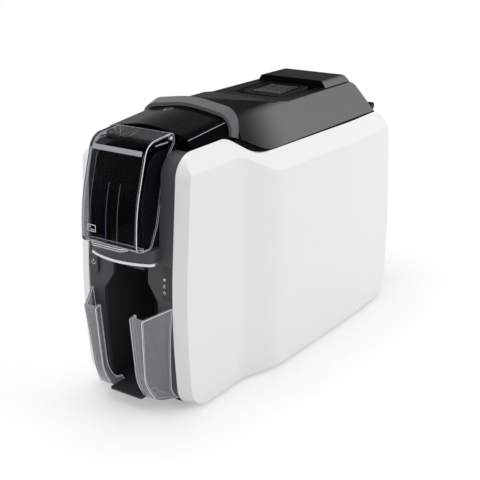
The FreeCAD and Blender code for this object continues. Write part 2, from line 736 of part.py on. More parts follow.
def silhouette(inset, front_shift=ZERO, back_shift=ZERO):
    """The covers in side view, drawn in by an inset, with either end moved."""
    return [
        (S.toe_y + inset + front_shift, S.cover_bottom + inset, S.toe_radius - inset),
        (S.heel_y - inset + back_shift, S.cover_bottom + inset, S.heel_radius - inset),
        (S.back_y - inset + back_shift, S.back_z, S.back_radius - inset),
        (S.tail_top_y - inset + back_shift, S.saddle_z - inset, S.tail_radius - inset),
        (S.saddle_y, S.saddle_z - inset, S.saddle_radius + inset),
        (S.hump_y, S.hump_z - inset, S.hump_radius - inset),
        (S.brow_y + inset + front_shift, S.brow_z - inset, S.brow_radius - inset),
        (S.chest_y + inset + front_shift, S.chest_z, S.chest_radius - inset),
    ]


def cover_block(name, inset, open_by):
    """One side cover as a solid; the inner one is drawn in and runs past the rims."""
    start = S.rim_half_width - S.bevel_width
    length = HALF_ROOM
    plan = flank(inset, FAR_FRONT, FAR_BACK)
    rim = flank(S.bevel_width + open_by, FAR_FRONT, FAR_BACK, S.rim_lag)
    height = S.hump_z + S.overrun
    parts = [prism(f"{name}_plan", "XY", ZERO, [plan + rim[::-1]], height)]
    if not inset.value:
        parts.append(prism(f"{name}_side", "YZ", start, [silhouette(inset)], length))
    lean = inset * root(FRONT_SLOPE * FRONT_SLOPE + 1) - inset
    front = silhouette(inset, lean - S.front_bevel_depth, length)
    parts.append(prism(f"{name}_front_bevel", "YZ", start, [front], length, [("y", FRONT_SLOPE)]))
    lean = inset * root(REAR_SLOPE * REAR_SLOPE + 1) - inset
    reach = REAR_SLOPE * (S.tail_half_width - start - S.bevel_width) - lean
    rear = silhouette(inset, -length, reach)
    parts.append(prism(f"{name}_rear_bevel", "YZ", start, [rear], length, [("y", -REAR_SLOPE)]))
    low = inset * root(TOP_SLOPE * TOP_SLOPE + 1) - S.top_bevel_drop
    rise = [TOP_SLOPE * (size - S.rim_half_width - S.bevel_width)
            for size in (S.waist_half_width, S.hip_half_width, S.rear_half_width,
                         S.tail_half_width)]
    top = [
        (FAR_FRONT, ZERO),
        (FAR_BACK, ZERO),
        (FAR_BACK, S.saddle_z + rise[3] - low),
        (S.widest_y, S.saddle_z + rise[2] - low, S.flank_radius),
        (S.hip_y + S.rim_lag, S.saddle_z + rise[1] - low),
        (S.hump_y, S.hump_z + rise[0] - low),
        (FAR_FRONT, S.hump_z - low),
    ]
    parts.append(prism(f"{name}_top_bevel", "YZ", start, [top], length, [("z", -TOP_SLOPE)]))
    return common(name, *parts)


BASE_Z = S.cover_bottom + S.cover_wall + S.side_gap
BASE_TOP = BASE_Z + S.base_wall


def screw(name, x, y, z, upward=True):
    """A screw with a flat head, driven along +Z or -Z, its head's outer face at z."""
    if upward:
        head = rod(f"{name}_head", "Z", (x, y, z), S.screw_head_radius, S.screw_head_height)
        shank = rod(f"{name}_shank", "Z", (x, y, z + S.screw_head_height), S.screw_radius,
                    S.screw_length)
    else:
        head = rod(f"{name}_head", "Z", (x, y, z - S.screw_head_height), S.screw_head_radius,
                   S.screw_head_height)
        shank = rod(f"{name}_shank", "Z", (x, y, z - S.screw_head_height - S.screw_length),
                    S.screw_radius, S.screw_length)
    return fuse(name, head, shank)


TAIL_SCREW_Y = S.rear_foot_y - S.tail_screw_setback
TAIL_SLOPE = (S.tail_half_width - S.rear_half_width) / (FAR_BACK - S.widest_y)
COVER_SCREWS = [
    (S.rim_half_width + S.cover_screw_inset, S.front_foot_y),
    (S.rear_half_width + TAIL_SLOPE * (TAIL_SCREW_Y - S.widest_y) - S.bevel_width
     + S.tail_screw_inset, TAIL_SCREW_Y),
]
FEET = [
    (S.front_foot_x, S.front_foot_y),
    (S.rear_half_width - S.rear_foot_inset, S.rear_foot_y),
]
SCREW_Z = S.cover_bottom + S.side_gap


def make_covers():
    outer = cover_block("cover_outer", ZERO, ZERO)
    inner = cover_block("cover_inner", S.cover_wall, S.bevel_width)
    holes = []
    for i, (x, y) in enumerate(COVER_SCREWS):
        holes.append(rod(f"cover_hole_{i}", "Z", (x, y, ZERO), S.screw_radius, BASE_TOP))
        holes.append(rod(f"cover_sink_{i}", "Z", (x, y, ZERO), S.screw_head_radius,
                         SCREW_Z + S.screw_head_height))
    right = node("side_cover_right", cut("cover_right", outer, inner, *holes))
    node("side_cover_left", mirror("cover_left", right))


def within(name, inset, low=ZERO):
    """The covers' side view as a block across the whole printer, from a height up."""
    block = prism(f"{name}_side", "YZ", -HALF_ROOM, [silhouette(inset)],
                  HALF_ROOM * 2)
    if not low.value:
        return block
    under = box(f"{name}_under", (-HALF_ROOM, HALF_ROOM), (FAR_FRONT, FAR_BACK), (ZERO, low))
    return cut(name, block, under)


def make_base():
    """The base plate lies on the covers' lower flanges and fills the space between them."""
    wide = flank(S.cover_wall * 2, FAR_FRONT, FAR_BACK)
    span = box("base_span", (-HALF_ROOM, HALF_ROOM),
               (S.toe_y + S.toe_radius, S.heel_y - S.heel_radius - S.cover_wall * 2),
               (BASE_Z, BASE_TOP))
    narrow = flank(S.bevel_width + S.side_gap, FAR_FRONT, FAR_BACK, S.rim_lag)
    sheet = common("base_sheet", within("base_room", S.cover_wall + S.side_gap), span,
                   prism("base_wide", "XY", BASE_Z, [both_sides(wide)], S.base_wall))
    middle = common("base_middle", within("base_rims", ZERO),
                    prism("base_narrow", "XY", S.cover_bottom, [both_sides(narrow)],
                          BASE_TOP - S.cover_bottom))
    cutters = []
    feet = []
    for side in (1, -1):
        for x, y in FEET:
            cutters.append(rod("foot_seat", "Z", (x * side, y, ZERO), S.foot_radius,
                               S.foot_height))
            feet.append(rod("foot", "Z", (x * side, y, ZERO), S.foot_radius, S.foot_height))
        for x, y in COVER_SCREWS:
            cutters.append(rod("base_hole", "Z", (x * side, y, ZERO), S.screw_radius,
                               BASE_TOP + S.overrun))
            cutters.append(rod("base_sink", "Z", (x * side, y, ZERO), S.screw_head_radius,
                               SCREW_Z + S.screw_head_height))
    node("base_chassis", cut("base_chassis", fuse("base_solid", sheet, middle), *cutters))
    node("feet", group("feet", feet))
    screws = []
    for side in (1, -1):
        for i, (x, y) in enumerate(COVER_SCREWS):
            screws.append(screw(f"cover_screw_{i}", x * side, y, SCREW_Z))
    node("cover_screws", group("cover_screws", screws))


# Card path: the rollers stand in a row, and an idler gear lies between and below each two
AXLE_Z = S.card_plane - S.roller_radius
ROLLER_YS = [S.feed_y + S.roller_pitch * i for i in range(ROLLERS)]
GEAR_REACH = S.gear_module * ((ROLLER_TEETH + IDLER_TEETH) / 2)
IDLER_Z = AXLE_Z - root(GEAR_REACH * GEAR_REACH - S.roller_pitch * S.roller_pitch / 4)
IDLER_YS = [y + S.roller_pitch / 2 for y in ROLLER_YS[:-1]]
PINION_Z = IDLER_Z - S.gear_module * ((PINION_TEETH + IDLER_TEETH) / 2)
PINION_Y = IDLER_YS[2]
TAKEUP_Y = ROLLER_YS[2]
LIFT_Z = AXLE_Z + S.gear_module * ((ROLLER_TEETH + LIFT_TEETH) / 2)
TAKEUP_Z = LIFT_Z + S.gear_module * ((LIFT_TEETH + TAKEUP_TEETH) / 2)
PINCH_Z = S.card_plane + S.card_gap + S.pinch_radius
PINCH_YS = ROLLER_YS[1:-1]
HEAD_Y = ROLLER_YS[-1]
FRAME_OUT = S.frame_half_gap + S.frame_sheet
GEAR_X = -(FRAME_OUT + S.gear_gap + S.gear_width)
FRAME_TOP = S.saddle_z - S.deck_drop - S.deck_sheet - S.side_gap


def frame_holes():
    shaft = S.shaft_radius + S.shaft_gap
    pinch = S.pinch_shaft_radius + S.shaft_gap
    spindle = S.spindle_radius + S.shaft_gap
    holes = [ring(y, AXLE_Z, shaft) for y in ROLLER_YS]
    holes += [ring(y, PINCH_Z, pinch) for y in PINCH_YS]
    holes += [ring(TAKEUP_Y, TAKEUP_Z, spindle), ring(S.supply_y, TAKEUP_Z, spindle)]
    return holes


TIES = [(S.front_tie_y, S.tie_z), (S.frame_back_y - S.tie_inset, S.tie_z),
        (S.frame_back_y - S.tie_inset, S.card_plane + S.tie_z)]


def make_frames():
    """Two steel side frames stand on the base and carry every shaft."""
    edge = [
        (S.frame_front_y, BASE_TOP),
        (S.frame_back_y, BASE_TOP),
        (S.frame_back_y, FRAME_TOP),
        (S.frame_slope_y, FRAME_TOP),
        (S.frame_crest_y, S.frame_crest_z),
        (S.frame_step_y, S.frame_crest_z),
        (S.frame_step_y, S.frame_step_z),
        (S.frame_front_y, S.frame_step_z),
    ]
    studs = [ring(y, IDLER_Z, S.stud_radius) for y in IDLER_YS]
    studs.append(ring(TAKEUP_Y, LIFT_Z, S.stud_radius))
    motor = [ring(PINION_Y, PINION_Z, S.motor_shaft_radius + S.side_gap)]
    ties = [ring(y, z, S.screw_radius) for y, z in TIES]
    left = plate("frame_left", "YZ", -FRAME_OUT, [edge] + frame_holes() + studs + motor + ties,
                 S.frame_sheet)
    right = plate("frame_right", "YZ", S.frame_half_gap, [edge] + frame_holes() + ties,
                  S.frame_sheet)
    node("side_frame_left", left)
    node("side_frame_right", right)
    rods = []
    for y, z in TIES:
        rods.append(rod("tie", "X", (-S.frame_half_gap, y, z), S.tie_radius,
                        S.frame_half_gap * 2))
    node("tie_rods", group("tie_rods", rods))
    screws = []
    for y, z in TIES:
        for side in (1, -1):
            low = FRAME_OUT if side == 1 else -(FRAME_OUT + S.screw_head_height)
            head = rod("tie_head", "X", (low, y, z), S.screw_head_radius, S.screw_head_height)
            low = S.frame_half_gap if side == 1 else -FRAME_OUT
            shank = rod("tie_shank", "X", (low, y, z), S.screw_radius, S.frame_sheet)
            screws.append(fuse("tie_screw", head, shank))
    node("tie_rod_screws", group("tie_rod_screws", screws))


def gear_outline(teeth, turn):
    """Points of a spur gear with involute flanks, in its own plane."""
    module = S.gear_module.value
    pitch = module * teeth / 2
    tip = pitch + module
    foot = pitch - module * DEDENDUM
    base = pitch * math.cos(PRESSURE_ANGLE)
    spread = math.tan(PRESSURE_ANGLE) - PRESSURE_ANGLE
    half = math.pi / (2 * teeth) - S.backlash.value / (2 * pitch)

    def flank_angle(radius):
        if radius <= base:
            return half + spread
        roll = math.acos(base / radius)
        return half + spread - (math.tan(roll) - roll)

    radii = (foot, max(base, foot + module / 4), pitch, tip)
    points = []
    for tooth in range(teeth):
        middle = turn + 2 * math.pi * tooth / teeth
        for radius in radii:
            points.append((radius, middle - flank_angle(radius)))
        for radius in reversed(radii):
            points.append((radius, middle + flank_angle(radius)))
    return [Vector(0, r * math.cos(a), r * math.sin(a)) for r, a in points]


def gear(name, teeth, turn, y, z, bore):
    """A gear in its place beside the left frame, with a hub that runs up to the frame."""
    points = gear_outline(teeth, turn)
    face = Part.Face(Part.makePolygon(points + points[:1]))
    solid = face.extrude(Vector(S.gear_width.value, 0, 0))
    hub_length = S.gear_width.value + S.gear_gap.value - S.side_gap.value
    hub = Part.makeCylinder(S.hub_radius.value, hub_length, Vector(), Vector(1, 0, 0))
    if bore.value + S.gear_module.value < S.hub_radius.value:
        solid = solid.fuse(hub)
    hole = Part.makeCylinder(bore.value, hub_length + S.overrun.value,
                             Vector(-S.overrun.value / 2, 0, 0), Vector(1, 0, 0))
    feature = doc.addObject("Part::Feature", name)
    feature.Shape = solid.cut(hole).removeSplitter()
    move(feature, GEAR_X, y, z)
    return feature


def mesh_turn(teeth, turn, place, next_teeth, next_place):
    """The turn of a gear that meshes with one already placed."""
    line = math.atan2(next_place[1] - place[1], next_place[0] - place[0])
    ahead = line - turn
    return line + math.pi + ahead * teeth / next_teeth + math.pi / next_teeth


def make_rollers():
    """Four rubber rollers in a row; the last is the platen under the printhead."""
    names = ("feed_roller", "transport_roller_front", "transport_roller_rear", "platen_roller")
    inner_end = GEAR_X - S.side_gap
    outer_end = FRAME_OUT + S.gear_gap
    for label, y in zip(names, ROLLER_YS):
        shaft = rod(f"{label}_steel", "X", (inner_end, y, AXLE_Z), S.shaft_radius,
                    outer_end - inner_end)
        rubber = rod(f"{label}_rubber", "X", (-S.roller_half_length, y, AXLE_Z),
                     S.roller_radius, S.roller_half_length * 2)
        node(label, fuse(f"{label}_solid", shaft, rubber))
    for label, y in zip(("pinch_roller_front", "pinch_roller_rear"), PINCH_YS):
        shaft = rod(f"{label}_steel", "X", (-FRAME_OUT, y, PINCH_Z), S.pinch_shaft_radius,
                    FRAME_OUT * 2)
        drum = rod(f"{label}_drum", "X", (-S.roller_half_length, y, PINCH_Z), S.pinch_radius,
                   S.roller_half_length * 2)
        node(label, fuse(f"{label}_solid", shaft, drum))


def make_gears():
    """The train: motor pinion, idlers between the roller gears, and up to the ribbon."""
    value = [(y.value, AXLE_Z.value) for y in ROLLER_YS]
    idler = [(y.value, IDLER_Z.value) for y in IDLER_YS]
    turns = {ROLLERS - 1: 0.0}
    idler_turns = {}
    for i in (2, 1, 0):
        idler_turns[i] = mesh_turn(ROLLER_TEETH, turns[i + 1], value[i + 1], IDLER_TEETH,
                                   idler[i])
        turns[i] = mesh_turn(IDLER_TEETH, idler_turns[i], idler[i], ROLLER_TEETH, value[i])
    names = ("feed_gear", "transport_gear_front", "transport_gear_rear", "platen_gear")
    for i, label in enumerate(names):
        node(label, gear(label, ROLLER_TEETH, turns[i], ROLLER_YS[i], AXLE_Z, S.shaft_radius))
    bore = S.stud_radius + S.shaft_gap
    names = ("idler_gear_front", "idler_gear_middle", "idler_gear_rear")
    for i, label in enumerate(names):
        node(label, gear(label, IDLER_TEETH, idler_turns[i], IDLER_YS[i], IDLER_Z, bore))
    pinion_place = (PINION_Y.value, PINION_Z.value)
    turn = mesh_turn(IDLER_TEETH, idler_turns[2], idler[2], PINION_TEETH, pinion_place)
    pinion = gear("pinion", PINION_TEETH, turn, PINION_Y, PINION_Z, S.motor_shaft_radius)
    end = GEAR_X - S.side_gap
    shaft = rod("motor_shaft", "X", (end, PINION_Y, PINION_Z), S.motor_shaft_radius,
                S.motor_flange - S.side_gap - S.frame_half_gap - end)
    node("motor_pinion", fuse("motor_pinion", pinion, shaft))
    lift_place = (TAKEUP_Y.value, LIFT_Z.value)
    lift = mesh_turn(ROLLER_TEETH, turns[2], value[2], LIFT_TEETH, lift_place)
    node("ribbon_idler_gear", gear("ribbon_idler_gear", LIFT_TEETH, lift, TAKEUP_Y, LIFT_Z,
                                   bore))
    take_place = (TAKEUP_Y.value, TAKEUP_Z.value)
    turn = mesh_turn(LIFT_TEETH, lift, lift_place, TAKEUP_TEETH, take_place)
    node("takeup_gear", gear("takeup_gear", TAKEUP_TEETH, turn, TAKEUP_Y, TAKEUP_Z,
                             S.spindle_radius))
    studs = []
    places = [(y, IDLER_Z) for y in IDLER_YS] + [(TAKEUP_Y, LIFT_Z)]
    for y, z in places:
        end = GEAR_X - S.side_gap
        pin = rod("stud_pin", "X", (end, y, z), S.stud_radius, -S.frame_half_gap - end)
        cap = rod("stud_cap", "X", (end - S.stud_cap, y, z), S.stud_radius * 2, S.stud_cap)
        studs.append(fuse("stud", pin, cap))
    node("idler_studs", group("idler_studs", studs))


def make_motor():
    start = -S.frame_half_gap
    flange_edge = square(PINION_Y - S.motor_radius - S.flange_sheet,
                         PINION_Y + S.motor_radius + S.flange_sheet,
                         PINION_Z - S.motor_radius - S.flange_sheet,
                         PINION_Z + S.motor_radius + S.flange_sheet, S.motor_flange)
    hole = ring(PINION_Y, PINION_Z, S.motor_shaft_radius + S.side_gap)
    body = plate("drive_motor", "YZ", start, [flange_edge, hole], S.motor_flange)
    can = [ring(PINION_Y, PINION_Z, S.motor_radius)]
    grow(body, "YZ", start + S.motor_flange, can, S.motor_length)
    node("drive_motor", body)


def make_guides():
    """Lower card guide between the frames, with windows for the rollers."""
    z = S.card_plane - S.guide_sink - S.guide_sheet
    half = S.frame_half_gap - S.side_gap
    windows = []
    for y in ROLLER_YS[1:]:
        reach = S.roller_radius + S.moving_gap
        windows.append(square(-S.roller_half_length - S.moving_gap,
                              S.roller_half_length + S.moving_gap, y - reach, y + reach))
    edge = square(-half, half, S.guide_front_y, S.guide_back_y)
    rails = [plate("guide_sheet", "XY", z, [edge] + windows, S.guide_sheet)]
    inner = S.card_width / 2 + S.side_gap
    for side in (1, -1):
        xs = sorted((inner * side, half * side), key=lambda size: size.value)
        rails.append(box("rail", xs, (S.guide_front_y, PINCH_YS[0] - S.pinch_radius * 2),
                         (z + S.guide_sheet, S.card_plane + S.card_gap)))
    node("card_guide", fuse("card_guide", *rails))


def make_spool(label, y, radius):
    """A ribbon spool with its journals in both frames, and the film rolled on it."""
    half = S.hub_half_gap
    flange = radius + S.flange_lip
    left = GEAR_X - S.side_gap if label == "takeup" else -FRAME_OUT - S.gear_gap
    spool = fuse(
        f"{label}_spool",
        rod(f"{label}_tube", "X", (-half, y, TAKEUP_Z), S.core_radius, half * 2),
        rod(f"{label}_left_flange", "X", (-half, y, TAKEUP_Z), flange, S.flange_sheet),
        rod(f"{label}_right_flange", "X", (half - S.flange_sheet, y, TAKEUP_Z), flange,
            S.flange_sheet),
        rod(f"{label}_axle", "X", (left, y, TAKEUP_Z), S.spindle_radius,
            FRAME_OUT + S.gear_gap - left),
    )
    node(f"{label}_spool", spool)
    film = cut(
        f"{label}_film",
        rod(f"{label}_roll", "X", (-S.ribbon_half_width, y, TAKEUP_Z), radius,
            S.ribbon_half_width * 2),
        rod(f"{label}_roll_bore", "X", (-half, y, TAKEUP_Z), S.core_radius, half * 2),
    )
    node(f"{label}_ribbon_roll", film)


def make_ribbon():
    make_spool("takeup", TAKEUP_Y, S.takeup_roll_radius)
    make_spool("supply", S.supply_y, S.supply_roll_radius)
    low = S.card_plane + S.card_gap
    high = low + S.ribbon_film
    front = HEAD_Y - S.head_half_depth - S.bracket_wall
    back = HEAD_Y + S.head_half_depth + S.bracket_wall
    take = (TAKEUP_Y + S.takeup_roll_radius / 2, TAKEUP_Z - S.takeup_roll_radius)
    supply = (S.supply_y - S.supply_roll_radius / 2, TAKEUP_Z - S.supply_roll_radius)
    film = [
        (take[0], take[1] - S.ribbon_film),
        (front, low),
        (back, low),
        (supply[0], supply[1] - S.ribbon_film),
        supply,
        (back, high),
        (front, high),
        take,
    ]
    node("ribbon_film", prism("ribbon_film", "YZ", -S.ribbon_half_width, [film],
                              S.ribbon_half_width * 2))


def make_printhead():
    """The thermal head hangs from the lid's inner frame over the platen."""
    low = S.card_plane + S.card_gap + S.ribbon_film + S.head_lift
    top = low + S.head_height
    tip = S.bracket_wall
    profile = [
        (HEAD_Y - tip, low),
        (HEAD_Y + tip, low),
        (HEAD_Y + S.head_half_depth, low + tip),
        (HEAD_Y + S.head_half_depth, top),
        (HEAD_Y - S.head_half_depth, top),
        (HEAD_Y - S.head_half_depth, low + tip),
    ]
    node("printhead", plate("printhead", "YZ", -S.head_half_length, [profile],
                            S.head_half_length * 2))
    wall = S.bracket_wall
    half = S.head_half_length
    arch = [
        (-half, top),
        (half, top),
        (half, LINER_Z),
        (half - wall, LINER_Z),
        (half - wall, top + wall),
        (wall - half, top + wall),
        (wall - half, LINER_Z),
        (-half, LINER_Z),
    ]
    node("head_bracket", plate("head_bracket", "XZ", HEAD_Y - S.bracket_half_depth, [arch],
                               S.bracket_half_depth * 2))


HOPPER_FLOOR = S.card_plane - S.hopper_floor_sink
HOPPER_LOW = HOPPER_FLOOR - S.hopper_floor
HOPPER_OUT = S.hopper_half_width + S.hopper_wall


def make_hopper():
    """An open-fronted box for the card stack; its cheeks reach forward into the door."""
    back = S.hopper_back_y + S.hopper_back_wall
    cheek = [
        (S.hopper_nose_y, HOPPER_LOW, S.hopper_floor),
        (back, HOPPER_LOW),
        (back, S.hopper_top_z),
        (S.hopper_brow_y, S.hopper_top_z - S.hopper_brow_drop, S.hopper_nose_radius),
        (S.hopper_nose_y, S.hopper_nose_z),
    ]
    block = prism("hopper_block", "YZ", -HOPPER_OUT, [cheek], HOPPER_OUT * 2)
    half = S.hopper_half_width
    room = box("hopper_room", (-half, half), (S.hopper_nose_y - S.overrun, S.hopper_back_y),
               (HOPPER_FLOOR, S.hopper_top_z + S.overrun))
    reach = S.roller_radius + S.moving_gap
    slot = box("feed_slot", (-S.roller_half_length - S.side_gap, S.roller_half_length + S.side_gap),
               (S.feed_y - reach, S.feed_y + reach),
               (HOPPER_LOW - S.overrun, HOPPER_FLOOR + S.overrun))
    parts = [cut("hopper_shell", block, room, slot)]
    for x in (-S.hopper_rib_pitch, ZERO, S.hopper_rib_pitch):
        parts.append(box("hopper_rib", (x - S.hopper_rib / 2, x + S.hopper_rib / 2),
                         (S.hopper_back_y - S.hopper_rib_depth, S.hopper_back_y),
                         (HOPPER_FLOOR, S.hopper_top_z - S.hopper_rib_depth)))
    for side in (1, -1):
        tab = sorted((HOPPER_OUT * side, (S.frame_half_gap - S.side_gap) * side),
                     key=lambda size: size.value)
        parts.append(box("hopper_tab", tab,
                         (S.hopper_tab_y, S.hopper_tab_y + S.hopper_tab_depth),
                         (S.hopper_tab_z, S.hopper_tab_z + S.hopper_tab_height)))
        wall = -HOPPER_OUT if side == -1 else S.hopper_half_width
        parts.append(rod("hinge_ear", "X", (wall, S.hinge_y, S.hinge_z), S.door_ear_radius,
                         S.hopper_wall))
        parts.append(box("ear_arm", (wall, wall + S.hopper_wall),
                         (S.hinge_y - S.ear_arm_half, S.hinge_y + S.ear_arm_half),
                         (S.hopper_top_z - S.hopper_brow_drop, S.hinge_z)))
    solid = fuse("hopper_solid", *parts)
    bores = rod("ear_bore", "X", (-HOPPER_OUT - S.overrun, S.hinge_y, S.hinge_z),
                S.door_pin_radius, (HOPPER_OUT + S.overrun) * 2)
    node("hopper_housing", cut("hopper_housing", solid, bores))
    pins = []
    for side in (1, -1):
        start = S.hopper_half_width if side == 1 else -(S.door_half_width + S.side_gap)
        pins.append(rod("door_pin", "X", (start, S.hinge_y, S.hinge_z), S.door_pin_radius,
                        S.door_half_width + S.side_gap - S.hopper_half_width))
    node("door_hinge_pins", group("door_hinge_pins", pins))


def door_side(inset):
    """The door in side view, from its lower front corner upwards."""
    tail = S.hinge_y + S.door_round
    return [
        (S.door_foot_y + inset, S.door_foot_z + inset, S.door_foot_radius - inset),
        (S.door_belly_y + inset, S.door_belly_z, S.door_belly_radius - inset),
        (S.door_bend_y + inset, S.door_bend_z - inset, S.door_bend_radius - inset),
        (tail, S.door_tail_z - inset, S.door_round - inset),
        (tail, S.hinge_z - S.door_round, S.door_round - inset),
        (S.door_flank_y, S.door_flank_z, S.door_flank_radius),
        (S.door_shank_y, S.door_shank_z, S.door_shank_radius),
        (S.door_heel_y, S.door_heel_z + inset, S.door_heel_radius),
    ]


def make_door():
    """Clear door, open behind, that swings up about pins in the hopper's ears."""
    wide = S.door_half_width
    outer = prism("door_outer", "YZ", -wide, [door_side(ZERO)], wide * 2)
    inner_half = wide - S.door_wall
    inner = [prism("door_inner", "YZ", -inner_half, [door_side(S.door_wall)], inner_half * 2)]
    for step in range(1, DOOR_STEPS + 1):
        moved = [(corner[0] + S.door_wall * step,) + corner[1:]
                 for corner in door_side(S.door_wall)]
        inner.append(prism(f"door_open_{step}", "YZ", -inner_half, [moved], inner_half * 2))
    bore = rod("door_bore", "X", (-wide - S.overrun, S.hinge_y, S.hinge_z),
               S.door_pin_radius + S.shaft_gap, (wide + S.overrun) * 2)
    sill = box("door_sill", (-inner_half, inner_half), (S.hopper_nose_y - S.side_gap, FAR_BACK),
               (ZERO, HOPPER_FLOOR + S.door_wall))
    reliefs = [rod("ear_relief", "X", (start, S.hinge_y, S.hinge_z),
                   S.door_ear_radius + S.side_gap / 2,
                   inner_half - S.hopper_half_width + S.side_gap)
               for start in (-inner_half, S.hopper_half_width - S.side_gap)]
    lip = prism("door_lip", "XY", S.door_foot_z, [[
        (-S.door_lip_half, S.door_foot_y - S.door_lip, S.door_lip),
        (S.door_lip_half, S.door_foot_y - S.door_lip, S.door_lip),
        (S.door_lip_half + S.door_lip, S.door_foot_y + S.door_wall),
        (-S.door_lip_half - S.door_lip, S.door_foot_y + S.door_wall),
    ]], S.door_lip_sheet)
    shell = cut("door_shell", outer, *inner, bore, sill, *reliefs)
    node("hopper_door", fuse("hopper_door", shell, lip))


FASCIA_HALF = S.rim_half_width - S.side_gap
BUTTON_EDGE = square(-S.button_x - S.button_half_width, -S.button_x + S.button_half_width,
                     S.button_z - S.button_half_height, S.button_z + S.button_half_height,
                     S.button_corner)
BUTTON_HOLE = square(-S.button_x - S.button_half_width - S.side_gap,
                     -S.button_x + S.button_half_width + S.side_gap,
                     S.button_z - S.button_half_height - S.side_gap,
                     S.button_z + S.button_half_height + S.side_gap,
                     S.button_corner + S.side_gap)


def chin(proud):
    """The bow under the door, seen from above, from its right end to its left."""
    side = S.chin_half_width + proud
    return [
        (side, S.chin_side_y - proud, S.chin_side_radius),
        (ZERO, S.chin_front_y - proud, S.chin_front_radius),
        (-side, S.chin_side_y - proud, S.chin_side_radius),
    ]


def status_edge(gap):
    return square(S.status_x - S.status_half_width - gap, S.status_x + S.status_half_width + gap,
                  S.status_z - S.status_half_height - gap,
                  S.status_z + S.status_half_height + gap, S.status_corner + gap)


def make_fascia():
    """Dark front between the covers, with the door's and the output's openings and the chin."""
    half = FASCIA_HALF
    outer = within("fascia_outer", S.fascia_setback, BASE_TOP + S.side_gap)
    inner = within("fascia_inner", S.fascia_setback + S.fascia_wall)
    back = S.hood_front_y - S.side_gap
    room = box("fascia_room", (-half, half), (FAR_FRONT, back), (ZERO, S.hump_z))
    door_half = S.door_half_width + S.door_hole_gap
    front = S.chin_front_y - S.overrun
    door_hole = box("door_hole", (-door_half, door_half), (front, back),
                    (S.chin_top_z, S.brow_z + S.overrun))
    low = BASE_TOP + S.side_gap + S.fascia_wall
    opening = prism("output_hole", "XZ", front, [both_sides([
        (S.bin_half_width, low),
        (S.bin_half_width, S.bin_shoulder_z),
        (S.exit_half_width, S.exit_knee_z),
        (S.exit_half_width, S.exit_top_z),
    ])], back - front)
    button = prism("button_hole", "XZ", front, [BUTTON_HOLE], back - front)
    bow = prism("chin_solid", "XY", S.chin_top_z - S.chin_height, [chin(ZERO) + [
        (-S.chin_half_width, S.chin_back_y),
        (S.chin_half_width, S.chin_back_y),
    ]], S.chin_height)
    mouth_low = S.exit_top_z - S.mouth_height
    mouth = box("exit_block", (S.mouth_x - S.mouth_half_width, S.mouth_x + S.mouth_half_width),
                (S.chest_y, S.chest_y + S.mouth_depth), (mouth_low, S.exit_top_z))
    skin = cut("fascia_skin", outer, within("skin_back", S.fascia_setback + S.status_sheet))
    pocket = common("status_pocket", skin, prism("status_hole", "XZ", front,
                                                 [status_edge(S.side_gap / 2)], back - front))
    frame = cut("fascia_frame", common("fascia_block", outer, room), inner, door_hole, opening,
                button, pocket)
    node("front_fascia", fuse("front_fascia", frame, bow, mouth))
    glass = prism("status_blank", "XZ", front, [status_edge(ZERO)], S.brow_z - front)
    node("status_window", common("status_window", skin, glass))
    trim = prism("trim_blank", "XY", S.chin_top_z - S.chin_height - S.trim_height,
                 [chin(S.trim_proud) + [
                     (-S.chin_half_width - S.trim_proud, S.chin_side_y + S.trim_depth),
                     (ZERO, S.chin_front_y + S.trim_depth * 2),
                     (S.chin_half_width + S.trim_proud, S.chin_side_y + S.trim_depth),
                 ]], S.trim_height)
    node("trim_strip", trim)
    cap = plate("power_button", "XZ", S.button_front_y, [BUTTON_EDGE], S.button_depth)
    node("power_button", cap)


def make_bin():
    """Black output bin behind the fascia, with a tongue between the wings."""
    half = S.bin_half_width + S.bin_wall
    low = BASE_TOP + S.side_gap * 2 + S.fascia_wall
    block = box("bin_block", (-half, half), (S.tongue_y, S.bin_back_y + S.bin_wall),
                (low, S.bin_top_z))
    room = box("bin_room", (-S.bin_half_width, S.bin_half_width),
               (S.tongue_y - S.overrun, S.bin_back_y),
               (low + S.bin_wall, S.bin_top_z - S.bin_wall))
    slot = box("bin_slot", (-S.slot_half_width, S.slot_half_width),
               (S.bin_back_y - S.overrun, S.bin_back_y + S.overrun),
               (S.slot_low_z, S.slot_high_z))
    behind = within("bin_front", S.fascia_setback + S.fascia_wall + S.side_gap)
    mouth = box("bin_mouth", (-half, half), (S.tongue_y, S.chest_y + S.mouth_depth + S.side_gap),
                (S.exit_top_z - S.mouth_height - S.side_gap, S.exit_top_z + S.overrun))
    shell = cut("bin_shell", common("bin_back", block, behind), room, slot, mouth)
    tongue = prism("bin_tongue", "XY", low, [[
        (S.tongue_half_width, S.tongue_y, S.bin_wall),
        (S.tongue_half_width, S.tongue_back_y),
        (-S.tongue_half_width, S.tongue_back_y),
        (-S.tongue_half_width, S.tongue_y, S.bin_wall),
    ]], S.bin_wall)
    node("output_bin", fuse("output_bin", shell, tongue))


def wing_side(inset, top):
    """A wing in side view; the inner ones stay open above."""
    return [
        (S.wing_root_y, S.wing_foot_z - S.bin_wall + inset),
        (S.wing_root_y, S.wing_crest_z + top),
        (-S.wing_reach + inset, S.wing_top_z + top, S.wing_corner),
        (S.wing_shin_y + inset, S.wing_shin_z, S.wing_shin_radius - inset),
        (S.wing_foot_y + inset, S.wing_foot_z + inset, S.wing_foot_radius - inset),
    ]


